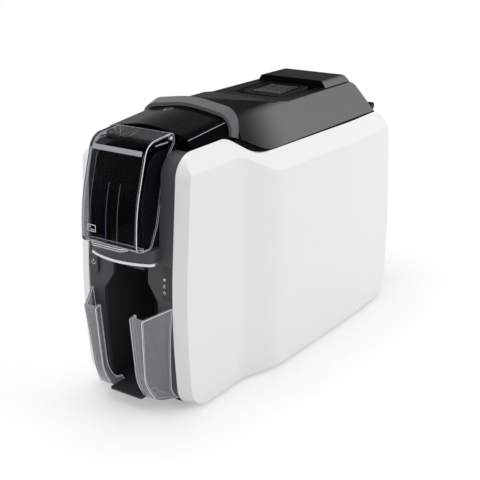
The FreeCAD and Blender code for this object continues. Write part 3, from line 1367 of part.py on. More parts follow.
def make_wings():
    """Clear cheeks of the output bin; each flares back to the fascia and leans with it."""
    lean = (S.wing_reach + S.wing_foot_y) / (S.wing_top_z - S.wing_foot_z)
    spread = (S.wing_rear_half - S.wing_front_half) / S.wing_reach
    height = S.wing_crest_z + S.overrun
    foot = lean * S.wing_top_z - S.wing_reach

    def wedge(name, inset, inner):
        front = foot - S.wing_reach
        back = foot + S.wing_reach * 2
        side = S.wing_front_half - inset
        return prism(name, "XY", ZERO, [[
            (inner, front),
            (side - spread * S.wing_reach, front),
            (side + spread * S.wing_reach * 2, back),
            (inner, back),
        ]], height, [("y", -lean)])

    inner = S.wing_slot_half
    wide = S.wing_rear_half
    solid = common("wing_block", prism("wing_side", "YZ", inner, [wing_side(ZERO, ZERO)], wide),
                   wedge("wing_wedge", ZERO, inner))
    room = common("wing_room",
                  prism("wing_room_side", "YZ", inner + S.wing_wall,
                        [wing_side(S.wing_wall, S.overrun)], wide),
                  wedge("wing_room_wedge", S.wing_wall, inner - S.overrun))
    mouth = common("wing_mouth",
                   prism("wing_mouth_side", "YZ", inner - S.overrun,
                         [wing_side(S.wing_lip, S.overrun)], wide),
                   wedge("wing_mouth_wedge", S.wing_wall, inner - S.overrun))
    behind = within("wing_trim", S.fascia_setback - S.side_gap)
    right = node("output_wing_right", cut("wing_right", solid, room, mouth, behind))
    node("output_wing_left", mirror("wing_left", right))


def arch(half_foot, low, half, corner_z, corner_radius, crown_z, crown_radius):
    """A crowned arch seen from the front."""
    return both_sides([
        (half_foot, low),
        (half, corner_z, corner_radius),
    ])[:2] + [(ZERO, crown_z, crown_radius)] + both_sides([
        (half_foot, low),
        (half, corner_z, corner_radius),
    ])[2:]


HOOD_SLOPE = S.hood_rise / (S.hood_back_y - S.hood_front_y)


def hood_arch(grow_by, low):
    return arch(S.hood_foot_half + grow_by, low, S.hood_half_width + grow_by,
                S.hood_corner_z + grow_by, S.hood_corner_radius + grow_by,
                S.hood_crown_z + grow_by, S.hood_crown_radius)


def make_hood():
    """Glossy hood between the door and the lid; it rises to the back."""
    length = S.hood_back_y - S.hood_front_y
    slope = [("z", HOOD_SLOPE)]
    rise = S.hood_rise + S.overrun
    outer = prism("hood_outer", "XZ", S.hood_front_y, [hood_arch(ZERO, S.hood_low_z - rise)],
                  length, slope)
    inner = prism("hood_inner", "XZ", S.hood_front_y,
                  [hood_arch(-S.hood_wall, S.hood_low_z - rise * 2)], length, slope)
    floor = box("hood_floor", (-HALF_ROOM, HALF_ROOM),
                (S.hood_front_y - S.overrun, S.hood_back_y + S.overrun), (ZERO, S.hood_low_z))
    node("front_hood", cut("front_hood", outer, inner, floor))


def make_collar():
    """Raised band at the lid's front edge, over the back of the hood."""
    lift = HOOD_SLOPE * (S.collar_front_y - S.hood_front_y)
    slope = [("z", HOOD_SLOPE)]
    flare = [("z", HOOD_SLOPE + S.collar_flare / S.collar_depth)]
    rise = S.collar_wall + S.lid_gap
    low = S.hood_low_z - S.overrun
    raised = [(u[0], u[1] + lift) + u[2:] for u in hood_arch(rise, low)]
    spare = [(u[0], u[1] + lift) + u[2:] for u in hood_arch(S.lid_gap, low - S.overrun)]
    outer = prism("collar_outer", "XZ", S.collar_front_y, [raised], S.collar_depth, flare)
    inner = prism("collar_inner", "XZ", S.collar_front_y, [spare], S.collar_depth, slope)
    under = prism("collar_under", "YZ", -HALF_ROOM, [under_lid()],
                  HALF_ROOM * 2)
    node("lid_collar", cut("lid_collar", outer, inner, under))


def under_lid():
    """Everything below the lid's lower edge, in side view."""
    return top_line(-S.lid_gap) + [
        (FAR_BACK, ZERO),
        (S.brow_y, ZERO),
        (S.brow_y, S.brow_z + S.lid_gap),
    ]


LID_FRONT = S.collar_front_y + S.collar_depth
SHOULDER_Z = S.saddle_z + S.lid_shoulder_rise
DECK_Z = S.saddle_z + S.lid_deck_rise
BLOCK_TOP = DECK_Z + S.block_rise
LINER_Z = DECK_Z - S.liner_drop
REAR_LEAN = (S.lid_heel_y - S.lid_tail_y) / (DECK_Z - S.saddle_z)
LID_SLOPE = (S.lid_foot_half - S.lid_shoulder_half) / (SHOULDER_Z - S.saddle_z)


def lid_block(name, inset, low):
    """The lid as a solid: sloped sides, a falling front, a level deck and a rear slope."""
    half = S.lid_shoulder_half - inset
    spread = LID_SLOPE * (SHOULDER_Z - S.saddle_z + low)
    ends = prism(f"{name}_ends", "XZ", LID_FRONT + inset, [[
        (half + spread, S.saddle_z - low),
        (half, SHOULDER_Z - inset, S.lid_shoulder_radius),
        (ZERO, SHOULDER_Z + S.lid_crown - inset, S.lid_crown_radius),
        (-half, SHOULDER_Z - inset, S.lid_shoulder_radius),
        (-half - spread, S.saddle_z - low),
    ]], FAR_BACK - LID_FRONT)
    side = prism(f"{name}_side", "YZ", -HALF_ROOM, [[
        (LID_FRONT, S.saddle_z - low),
        (S.lid_heel_y - inset + REAR_LEAN * low, S.saddle_z - low),
        (S.lid_tail_y - inset, DECK_Z - inset, S.lid_tail_radius),
        (S.lid_deck_y, DECK_Z - inset),
        (LID_FRONT, S.saddle_z + S.lid_front_rise - inset),
    ]], HALF_ROOM * 2)
    return common(name, ends, side)


def raised_block(name, inset, low):
    half = S.block_half_width - inset
    front = prism(f"{name}_front", "XZ", S.block_front_y + inset, [[
        (half + S.block_spread, low),
        (half, BLOCK_TOP - inset, S.block_radius),
        (-half, BLOCK_TOP - inset, S.block_radius),
        (-half - S.block_spread, low),
    ]], S.lid_heel_y - S.block_front_y - inset)
    back = S.lid_tail_y - inset
    side = prism(f"{name}_side", "YZ", -HALF_ROOM, [[
        (S.block_front_y + inset, low),
        (back + REAR_LEAN * (DECK_Z - low), low),
        (back - REAR_LEAN * (BLOCK_TOP - DECK_Z - inset), BLOCK_TOP - inset,
         S.block_radius),
        (S.block_front_y + inset, BLOCK_TOP - inset),
    ]], HALF_ROOM * 2)
    return common(name, front, side)


RECESS_Z = DECK_Z - S.recess_depth


def recess_edge(grow_by):
    half = S.recess_half_width + grow_by
    back = S.block_front_y + grow_by
    front = S.recess_front_y - grow_by
    return [
        (half, front, S.recess_radius),
        (half, back),
        (-half, back),
        (-half, front, S.recess_radius),
    ]


def latch_edge(gap):
    half = S.latch_half_width + gap
    front = S.latch_front_y - gap
    back = S.latch_front_y + S.latch_length + gap
    return [
        (half, front, S.latch_radius),
        (half, back, S.latch_small_radius),
        (-half, back, S.latch_small_radius),
        (-half, front, S.latch_radius),
    ]


def make_lid():
    """Matt black lid with the latch button's recess and the raised block behind it."""
    deck = DECK_Z - S.lid_wall
    block = raised_block("block_outer", ZERO, deck)
    outer = fuse("lid_outer", lid_block("lid_outer_block", ZERO, S.overrun), block)
    pit = prism("recess", "XY", RECESS_Z, [recess_edge(ZERO)],
                BLOCK_TOP - RECESS_Z + S.overrun)
    inner = fuse("lid_inner", lid_block("lid_inner_block", S.lid_wall, S.overrun * 2),
                 raised_block("block_inner", S.lid_wall, deck - S.lid_wall))
    floor = RECESS_Z - S.lid_wall
    keep = prism("recess_pan", "XY", floor, [recess_edge(S.lid_wall)],
                 BLOCK_TOP - floor + S.overrun)
    under = prism("lid_under", "YZ", -HALF_ROOM, [under_lid()], HALF_ROOM * 2)
    hole = prism("latch_hole", "XY", floor - S.overrun, [latch_edge(S.side_gap)],
                 S.lid_wall + S.overrun * 2)
    solid = cut("lid_recessed", outer, pit)
    hollow = cut("lid_hollow", inner, keep)
    shell = cut("lid_shell", solid, hollow, under, hole)
    parts = [shell]
    arm_top = S.saddle_z + S.lid_gap + S.arm_height
    for side in (1, -1):
        low = S.lid_knuckle_x * side - S.knuckle_length / 2
        parts.append(rod("lid_knuckle", "X", (low, S.lid_hinge_y, S.lid_hinge_z),
                         S.knuckle_radius, S.knuckle_length))
        parts.append(box("knuckle_arm", (low, low + S.knuckle_length),
                         (S.lid_heel_y - S.lid_wall * 2, S.lid_hinge_y),
                         (S.saddle_z + S.lid_gap, arm_top)))
    posts = []
    for side in (1, -1):
        for y in (S.liner_front_y + S.post_front_inset, S.liner_back_y - S.post_back_inset):
            x = (S.liner_half_width - S.liner_post_radius * 2) * side
            posts.append(rod("lid_post", "Z", (x, y, LINER_Z + S.liner_sheet),
                             S.liner_post_radius, BLOCK_TOP - LINER_Z))
    parts.append(common("lid_posts", group("post_blanks", posts), outer))
    bore = rod("lid_pin_bore", "X", (-HALF_ROOM, S.lid_hinge_y, S.lid_hinge_z),
               S.lid_pin_radius + S.shaft_gap, HALF_ROOM * 2)
    node("lid_cover", cut("lid_cover", fuse("lid_solid", *parts), bore))


def make_latch():
    """The button in the lid, with grip ribs; two hooks on one shaft under it."""
    low = RECESS_Z - S.latch_skirt
    front = RECESS_Z + S.latch_rise
    back_y = S.latch_front_y + S.latch_length
    blank = prism("latch_blank", "XY", low, [latch_edge(ZERO)],
                  front + S.latch_ramp - low + S.overrun)
    ramp = prism("latch_ramp", "YZ", -S.recess_half_width, [[
        (S.latch_front_y - S.overrun, low - S.overrun),
        (back_y + S.overrun, low - S.overrun),
        (back_y + S.overrun, front + S.latch_ramp),
        (back_y, front + S.latch_ramp),
        (S.latch_front_y, front),
        (S.latch_front_y - S.overrun, front),
    ]], S.recess_half_width * 2)
    parts = [common("latch_body", blank, ramp)]
    slope = S.latch_ramp / S.latch_length
    rib_half = S.latch_half_width - S.latch_rib_inset
    for i in range(round(S.latch_ribs.value)):
        y = back_y - S.latch_rib_margin - S.latch_rib_pitch * i
        top = front + slope * (y - S.latch_front_y) + S.latch_rib_height
        parts.append(box("latch_rib", (-rib_half, rib_half),
                         (y - S.latch_rib_width / 2, y + S.latch_rib_width / 2),
                         (top - S.latch_rib_height * 2, top)))
    node("latch_button", fuse("latch_button", *parts))
    shaft = [rod("hook_shaft", "X", (-S.hook_half_gap - S.hook_sheet, S.hook_y, S.hook_z),
                 S.hook_shaft_radius, (S.hook_half_gap + S.hook_sheet) * 2)]
    for side in (1, -1):
        x = S.hook_half_gap if side == 1 else -S.hook_half_gap - S.hook_sheet
        foot = S.hook_z - S.hook_drop
        arm = [
            (S.hook_y - S.hook_half_depth, S.hook_z + S.hook_half_depth, S.hook_sheet),
            (S.hook_y - S.hook_half_depth, foot),
            (S.hook_y + S.hook_nose, foot),
            (S.hook_y + S.hook_nose, foot + S.hook_sheet),
            (S.hook_y, foot + S.hook_sheet * 2),
            (S.hook_y + S.hook_half_depth, S.hook_z + S.hook_half_depth, S.hook_sheet),
        ]
        shaft.append(prism("hook_arm", "YZ", x, [arm], S.hook_sheet))
    node("latch_hooks", fuse("latch_hooks", *shaft))
    catches = []
    y = S.hook_y + S.hook_nose + S.catch_radius + S.catch_gap
    z = S.hook_z - S.hook_drop + S.hook_sheet
    for side in (1, -1):
        start = S.frame_half_gap - S.catch_length if side == 1 else -S.frame_half_gap
        catches.append(rod("catch", "X", (start, y, z), S.catch_radius, S.catch_length))
    node("latch_catches", group("latch_catches", catches))


def make_liner():
    """Inner frame of the lid: it carries the printhead's bracket and the hooks' bearings."""
    half = S.liner_half_width
    edge = square(-half, half, S.liner_front_y, S.liner_back_y)
    windows = [square(-half / 2, half / 2, HEAD_Y + S.head_half_depth * 2,
                      S.liner_back_y - S.liner_margin, S.liner_sheet)]
    body = plate("lid_inner_frame", "XY", LINER_Z, [edge] + windows, S.liner_sheet)
    wall = S.hook_bearing
    radius = S.hook_shaft_radius + S.shaft_gap
    for side in (1, -1):
        inner = S.hook_half_gap - S.side_gap - wall
        low = inner if side == 1 else -inner - wall
        loop = square(S.hook_y - radius - wall, S.hook_y + radius + wall,
                      S.hook_z - radius - wall, LINER_Z)
        grow(body, "YZ", low, [loop, ring(S.hook_y, S.hook_z, radius)], wall)
    node("lid_inner_frame", body)


def make_deck():
    """Deck under the lid, between the covers, with the opening of the ribbon bay."""
    inward = S.bevel_width + S.side_gap
    edge = flank(inward, FAR_FRONT, FAR_BACK, S.rim_lag)
    plan = prism("deck_plan", "XY", S.deck_foot_z, [both_sides(edge)], S.hump_z - S.deck_foot_z)
    room = box("deck_room", (-HALF_ROOM, HALF_ROOM),
               (S.hood_back_y + S.side_gap, FAR_BACK), (S.deck_foot_z, S.hump_z))
    parts = [common("deck_blank", within("deck_outer", S.deck_drop), plan, room)]
    inner = within("deck_inner", S.deck_drop + S.deck_sheet)
    bay = prism("deck_bay", "XY", ZERO, [square(-S.bay_half_width, S.bay_half_width,
                                                S.bay_front_y, S.bay_back_y, S.bay_radius)],
                S.hump_z)
    for side in (1, -1):
        for step in (-1, 1):
            middle = S.lid_knuckle_x + (S.knuckle_length + S.side_gap) * step
            low_x = middle * side - S.knuckle_length / 2
            parts.append(rod("deck_knuckle", "X", (low_x, S.lid_hinge_y, S.lid_hinge_z),
                             S.knuckle_radius, S.knuckle_length))
            parts.append(box("deck_post", (low_x, low_x + S.knuckle_length),
                             (S.lid_hinge_y - S.knuckle_radius / 2,
                              S.lid_hinge_y + S.knuckle_radius / 2),
                             (S.deck_foot_z, S.lid_hinge_z)))
    bore = rod("deck_pin_bore", "X", (-HALF_ROOM, S.lid_hinge_y, S.lid_hinge_z),
               S.lid_pin_radius, HALF_ROOM * 2)
    reach = S.gear_module * ((TAKEUP_TEETH + 2) / 2) + S.moving_gap
    slot = box("gear_slot", (GEAR_X - S.gear_gap, -FRAME_OUT),
               (TAKEUP_Y - reach, TAKEUP_Y + reach), (S.deck_foot_z, S.hump_z))
    node("lid_deck", cut("lid_deck", fuse("deck_solid", *parts), inner, bay, slot, bore))
    pins = []
    for side in (1, -1):
        length = S.knuckle_length * KNUCKLES + S.side_gap * (KNUCKLES - 1)
        pins.append(rod("lid_pin", "X", (S.lid_knuckle_x * side - length / 2, S.lid_hinge_y,
                                         S.lid_hinge_z), S.lid_pin_radius, length))
    node("lid_hinge_pins", group("lid_hinge_pins", pins))
    seat = []
    for drop in (S.deck_drop, S.deck_drop - S.seal_height):
        seat.append([(S.brow_y, S.brow_z - drop)] + top_line(drop))
    seat = seat[0] + seat[1][::-1]
    seat_blank = prism("seal_band", "YZ", ZERO, [seat], HALF_ROOM)
    outer = flank(inward + S.seal_width / 2, FAR_FRONT, FAR_BACK, S.rim_lag)
    inner = flank(inward + S.seal_width + S.seal_width / 2, FAR_FRONT, FAR_BACK, S.rim_lag)
    reach = box("seal_room", (ZERO, HALF_ROOM),
                (S.hood_back_y + S.seal_width, S.lid_heel_y), (ZERO, S.hump_z + S.overrun))
    strip = common("seal_right", seat_blank, reach,
                   prism("seal_plan", "XY", ZERO, [outer + inner[::-1]], S.hump_z + S.overrun))
    seals = [strip, mirror("seal_left", strip)]
    node("lid_seal", group("lid_seal", seals))


def make_rear():
    """Rear panel with vents and socket holes, and the control board behind it."""
    half = S.tail_half_width - S.bevel_width - S.side_gap
    usb = square(S.usb_x - S.usb_half_width - S.side_gap, S.usb_x + S.usb_half_width + S.side_gap,
                 S.socket_z - S.usb_half_height - S.side_gap,
                 S.socket_z + S.usb_half_height + S.side_gap)
    net = square(S.net_x - S.net_half_width - S.side_gap, S.net_x + S.net_half_width + S.side_gap,
                 S.socket_z - S.net_half_height - S.side_gap,
                 S.socket_z + S.net_half_height + S.side_gap)
    inlet = ring(S.inlet_x, S.socket_z, S.inlet_radius + S.side_gap)
    vents = []
    count = round(S.vent_count.value)
    for i in range(count):
        x = S.vent_pitch * (i - (count - 1) / 2)
        vents.append(square(x - S.vent_half_width, x + S.vent_half_width, S.vent_low_z,
                            S.vent_high_z))
    outer = within("panel_outer", S.rear_setback, BASE_TOP + S.side_gap)
    inner = within("panel_inner", S.rear_setback + S.rear_sheet)
    room = box("panel_room", (-half, half), (S.board_y, FAR_BACK),
               (ZERO, S.deck_foot_z - S.side_gap))
    holes = prism("panel_holes", "XZ", S.board_y, [usb, net, inlet] + vents,
                  FAR_BACK - S.board_y)
    standoffs = []
    for x in (S.board_half_width - S.standoff_inset, S.standoff_inset - S.board_half_width):
        for z in (S.board_low_z + S.standoff_inset, S.board_high_z - S.standoff_inset):
            standoffs.append(ring(x, z, S.standoff_radius))
    posts = prism("standoffs", "XZ", S.board_y, standoffs,
                  S.rear_face_y - S.rear_sheet / 2 - S.board_y)
    sheet = cut("panel_sheet", common("panel_block", outer, room), inner, holes)
    node("rear_panel", fuse("rear_panel", sheet, posts))
    board = square(-S.board_half_width, S.board_half_width, S.board_low_z, S.board_high_z)
    body = plate("control_board", "XZ", S.board_y - S.board_sheet, [board], S.board_sheet)
    chip = square(S.chip_x - S.chip_half, S.chip_x + S.chip_half, S.chip_z - S.chip_half,
                  S.chip_z + S.chip_half)
    grow(body, "XZ", S.board_y, [chip], S.chip_height)
    node("control_board", body)
    end = S.rear_face_y
    for label, x, wide, high in (
        ("data_socket", S.usb_x, S.usb_half_width, S.usb_half_height),
        ("network_socket", S.net_x, S.net_half_width, S.net_half_height),
    ):
        edge = square(x - wide, x + wide, S.socket_z - high, S.socket_z + high)
        body = plate(label, "XZ", S.board_y, [edge], end - S.board_y)
        wall = S.socket_wall
        mouth = square(x - wide + wall, x + wide - wall, S.socket_z - high + wall,
                       S.socket_z + high - wall)
        room = S.tongue_margin
        tongue = square(x - wide + room, x + wide - room, S.socket_z - high + room,
                        S.socket_z + high - room)
        carve(body, "XZ", end - S.socket_depth, [mouth, tongue], S.socket_depth)
        node(label, body)
    body = plate("power_inlet", "XZ", S.board_y, [ring(S.inlet_x, S.socket_z, S.inlet_radius)],
                 end - S.board_y)
    carve(body, "XZ", end - S.socket_depth,
          [ring(S.inlet_x, S.socket_z, S.inlet_radius - S.socket_wall),
           ring(S.inlet_x, S.socket_z, S.inlet_pin_radius)], S.socket_depth)
    node("power_inlet", body)


def write_parts():
    doc.recompute()
    for obj in doc.Objects:
        if "Invalid" in obj.State or "Error" in obj.State:
            raise RuntimeError(f"{obj.Name} ({obj.Label}) failed: {obj.State}")
    os.makedirs("parts", exist_ok=True)
    failed = []
    for obj in NODES:
        shape = obj.Shape
        if shape.isNull() or not shape.isValid() or not shape.Solids:
            failed.append(obj.Label)
            continue
        shape.exportStep(f"parts/{obj.Label}.step")
        solids = shape.Solids
        print(f"{obj.Label}: {len(solids)} solid(s), {shape.Volume:.0f} cubic mm")
    if failed:
        raise RuntimeError(f"no valid solid: {failed}")


make_covers()
make_base()
make_frames()
make_rollers()
make_gears()
make_motor()
make_guides()
make_ribbon()
make_printhead()
make_hopper()
make_door()
make_fascia()
make_bin()
make_wings()
make_hood()
make_collar()
make_lid()
make_latch()
make_liner()
make_deck()
make_rear()
write_parts()
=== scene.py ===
import math

import bpy
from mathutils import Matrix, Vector


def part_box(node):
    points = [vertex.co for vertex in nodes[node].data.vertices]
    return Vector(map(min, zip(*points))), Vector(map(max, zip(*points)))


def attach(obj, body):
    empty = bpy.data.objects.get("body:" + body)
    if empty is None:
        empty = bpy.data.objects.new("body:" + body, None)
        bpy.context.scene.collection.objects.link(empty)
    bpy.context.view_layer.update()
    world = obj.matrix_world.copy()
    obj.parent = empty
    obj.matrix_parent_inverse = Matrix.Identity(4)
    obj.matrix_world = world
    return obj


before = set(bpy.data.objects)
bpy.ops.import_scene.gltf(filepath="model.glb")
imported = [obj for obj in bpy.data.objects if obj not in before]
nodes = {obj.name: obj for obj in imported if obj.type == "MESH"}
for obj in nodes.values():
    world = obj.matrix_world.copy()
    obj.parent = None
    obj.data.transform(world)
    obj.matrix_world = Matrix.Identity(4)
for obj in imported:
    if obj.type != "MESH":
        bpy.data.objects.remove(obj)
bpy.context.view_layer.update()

print("frame loaded:", len(nodes), "nodes")


def shade(red, green, blue):  # 0 to 255 as seen on screen, to a linear colour
    return tuple((v / 255) ** 2.2 for v in (red, green, blue)) + (1.0,)


def put(tree, kind, sockets=None, **settings):  # a shader node with its settings and sockets
    made = tree.nodes.new("ShaderNode" + kind)
    for name, value in settings.items():
        setattr(made, name, value)
    for name, value in (sockets or {}).items():
        if isinstance(value, bpy.types.NodeSocket):
            tree.links.new(value, made.inputs[name])
        else:
            made.inputs[name].default_value = value
    return made


def reckon(tree, operation, *values, clamp=False):  # the value of a Math node
    return put(tree, "Math", dict(enumerate(values)), operation=operation,
               use_clamp=clamp).outputs[0]


def span(tree, value, low, high):  # 0 at low, 1 at high
    return put(tree, "MapRange", {"Value": value, "From Min": low, "From Max": high}).outputs[0]


def onObject(tree):  # where a point is on its object
    return put(tree, "TexCoord").outputs["Object"]


def cloud(tree, scale, **more):  # a value that drifts over the object
    return put(tree, "TexNoise", {"Vector": onObject(tree), "Scale": scale, **more}).outputs[0]


def normalParts(tree):  # the surface's direction along x, y and z
    return put(tree, "SeparateXYZ", {0: put(tree, "NewGeometry").outputs["Normal"]}).outputs


def newGroup(name, inputs, output, outputKind):  # a node group and what it is given
    tree = bpy.data.node_groups.new(name, "ShaderNodeTree")
    for label, (kind, value) in inputs.items():
        socket = tree.interface.new_socket(
            name=label, in_out="INPUT", socket_type="NodeSocket" + kind)
        socket.default_value = value
    tree.interface.new_socket(
        name=output, in_out="OUTPUT", socket_type="NodeSocket" + outputKind)
    return tree, tree.nodes.new("NodeGroupInput").outputs


def closeGroup(tree, value):
    tree.links.new(value, tree.nodes.new("NodeGroupOutput").inputs[0])
    return tree


def makeMouldGrain():  # spark-eroded grain of moulded plastic
    tree, given = newGroup(
        "mouldGrain", {"Scale": ("Float", 1500.0), "Cells": ("Float", 0.5)}, "Height", "Float")
    fine = cloud(tree, given["Scale"], Detail=3.0, Roughness=0.6)
    cells = put(tree, "TexVoronoi", {"Vector": onObject(tree), "Scale": given["Scale"]})
    mixed = put(tree, "Mix", {"Factor": given["Cells"], "A": fine,
                              "B": cells.outputs["Distance"]}, data_type="FLOAT")
    return closeGroup(tree, mixed.outputs[0])


def makeHandling():  # patches of rubbed and of duller surface
    tree, given = newGroup(
        "handling", {"Roughness": ("Float", 0.4), "Spread": ("Float", 0.1),
                     "Scale": ("Float", 18.0)}, "Roughness", "Float")
    patches = cloud(tree, given["Scale"], Detail=6.0, Roughness=0.65, Distortion=0.4)
    centred = reckon(tree, "SUBTRACT", patches, 0.5)
    return closeGroup(tree, reckon(
        tree, "MULTIPLY_ADD", centred, given["Spread"], given["Roughness"], clamp=True))


def makeColourDrift():  # slight unevenness of a moulded colour
    tree, given = newGroup(
        "colourDrift", {"Color": ("Color", (0.5, 0.5, 0.5, 1.0)), "Amount": ("Float", 0.05),
                        "Scale": ("Float", 30.0)}, "Color", "Color")
    centred = reckon(tree, "SUBTRACT", cloud(tree, given["Scale"], Detail=4.0), 0.5)
    value = reckon(tree, "MULTIPLY_ADD", centred, given["Amount"], 1.0)
    toned = put(tree, "HueSaturation", {"Color": given["Color"], "Value": value})
    return closeGroup(tree, toned.outputs[0])


def makeEdgeWear():  # where edges are rubbed bright
    tree, given = newGroup(
        "edgeWear", {"Radius": ("Float", 0.0005), "Gain": ("Float", 3.0),
                     "Scale": ("Float", 60.0)}, "Mask", "Float")
    rounded = put(tree, "Bevel", {"Radius": given["Radius"]}, samples=4)
    surface = put(tree, "NewGeometry")
    along = put(tree, "VectorMath", {0: rounded.outputs[0], 1: surface.outputs["Normal"]},
                operation="DOT_PRODUCT")
    turned = reckon(tree, "SUBTRACT", 1.0, along.outputs["Value"])
    raised = reckon(tree, "MULTIPLY", turned, given["Gain"], clamp=True)
    worn = span(tree, cloud(tree, given["Scale"], Detail=5.0), 0.4, 0.62)
    return closeGroup(tree, reckon(tree, "MULTIPLY", raised, worn))


def makeRestingDust():  # a thin veil on faces that look up
    tree, given = newGroup(
        "restingDust", {"Amount": ("Float", 0.05), "Scale": ("Float", 220.0)}, "Mask", "Float")
    upward = span(tree, normalParts(tree)["Z"], 0.55, 1.0)
    thin = span(tree, cloud(tree, given["Scale"], Detail=8.0, Roughness=0.7), 0.45, 0.75)
    veil = reckon(tree, "MULTIPLY", upward, thin)
    return closeGroup(tree, reckon(tree, "MULTIPLY", veil, given["Amount"]))


def makeBrushing():  # fine lines left by rolling, turning or brushing
    tree, given = newGroup(
        "brushing", {"Stretch": ("Vector", (1.0, 40.0, 40.0)), "Scale": ("Float", 60.0)},
        "Height", "Float")
    drawn = put(tree, "Mapping", {"Vector": onObject(tree), "Scale": given["Stretch"]})
    lines = put(tree, "TexNoise", {"Vector": drawn.outputs[0], "Scale": given["Scale"],
                                   "Detail": 4.0, "Roughness": 0.7})
    return closeGroup(tree, lines.outputs[0])


def makePaintedSideSheen():  # painted sheen: a coat only on faces that look sideways, weaker towards the front
    tree, given = newGroup("paintedSideSheen", {"Amount": ("Float", 1.0)}, "Mask", "Float")
    facing = span(tree, reckon(tree, "ABSOLUTE", normalParts(tree)["X"]), 0.25, 0.85)
    place = put(tree, "SeparateXYZ", {0: onObject(tree)}).outputs
    fade = put(tree, "MapRange", {"Value": place["Y"], "From Min": -0.07, "From Max": 0.0,
                                  "To Min": 0.12, "To Max": 1.0},
               interpolation_type="SMOOTHSTEP")
    both = reckon(tree, "MULTIPLY", facing, fade.outputs[0])
    return closeGroup(tree, reckon(tree, "MULTIPLY", both, given["Amount"]))


mouldGrain, handling, colourDrift = makeMouldGrain(), makeHandling(), makeColourDrift()
edgeWear, restingDust, brushing = makeEdgeWear(), makeRestingDust(), makeBrushing()
paintedSideSheen = makePaintedSideSheen()
print("shared effects made")


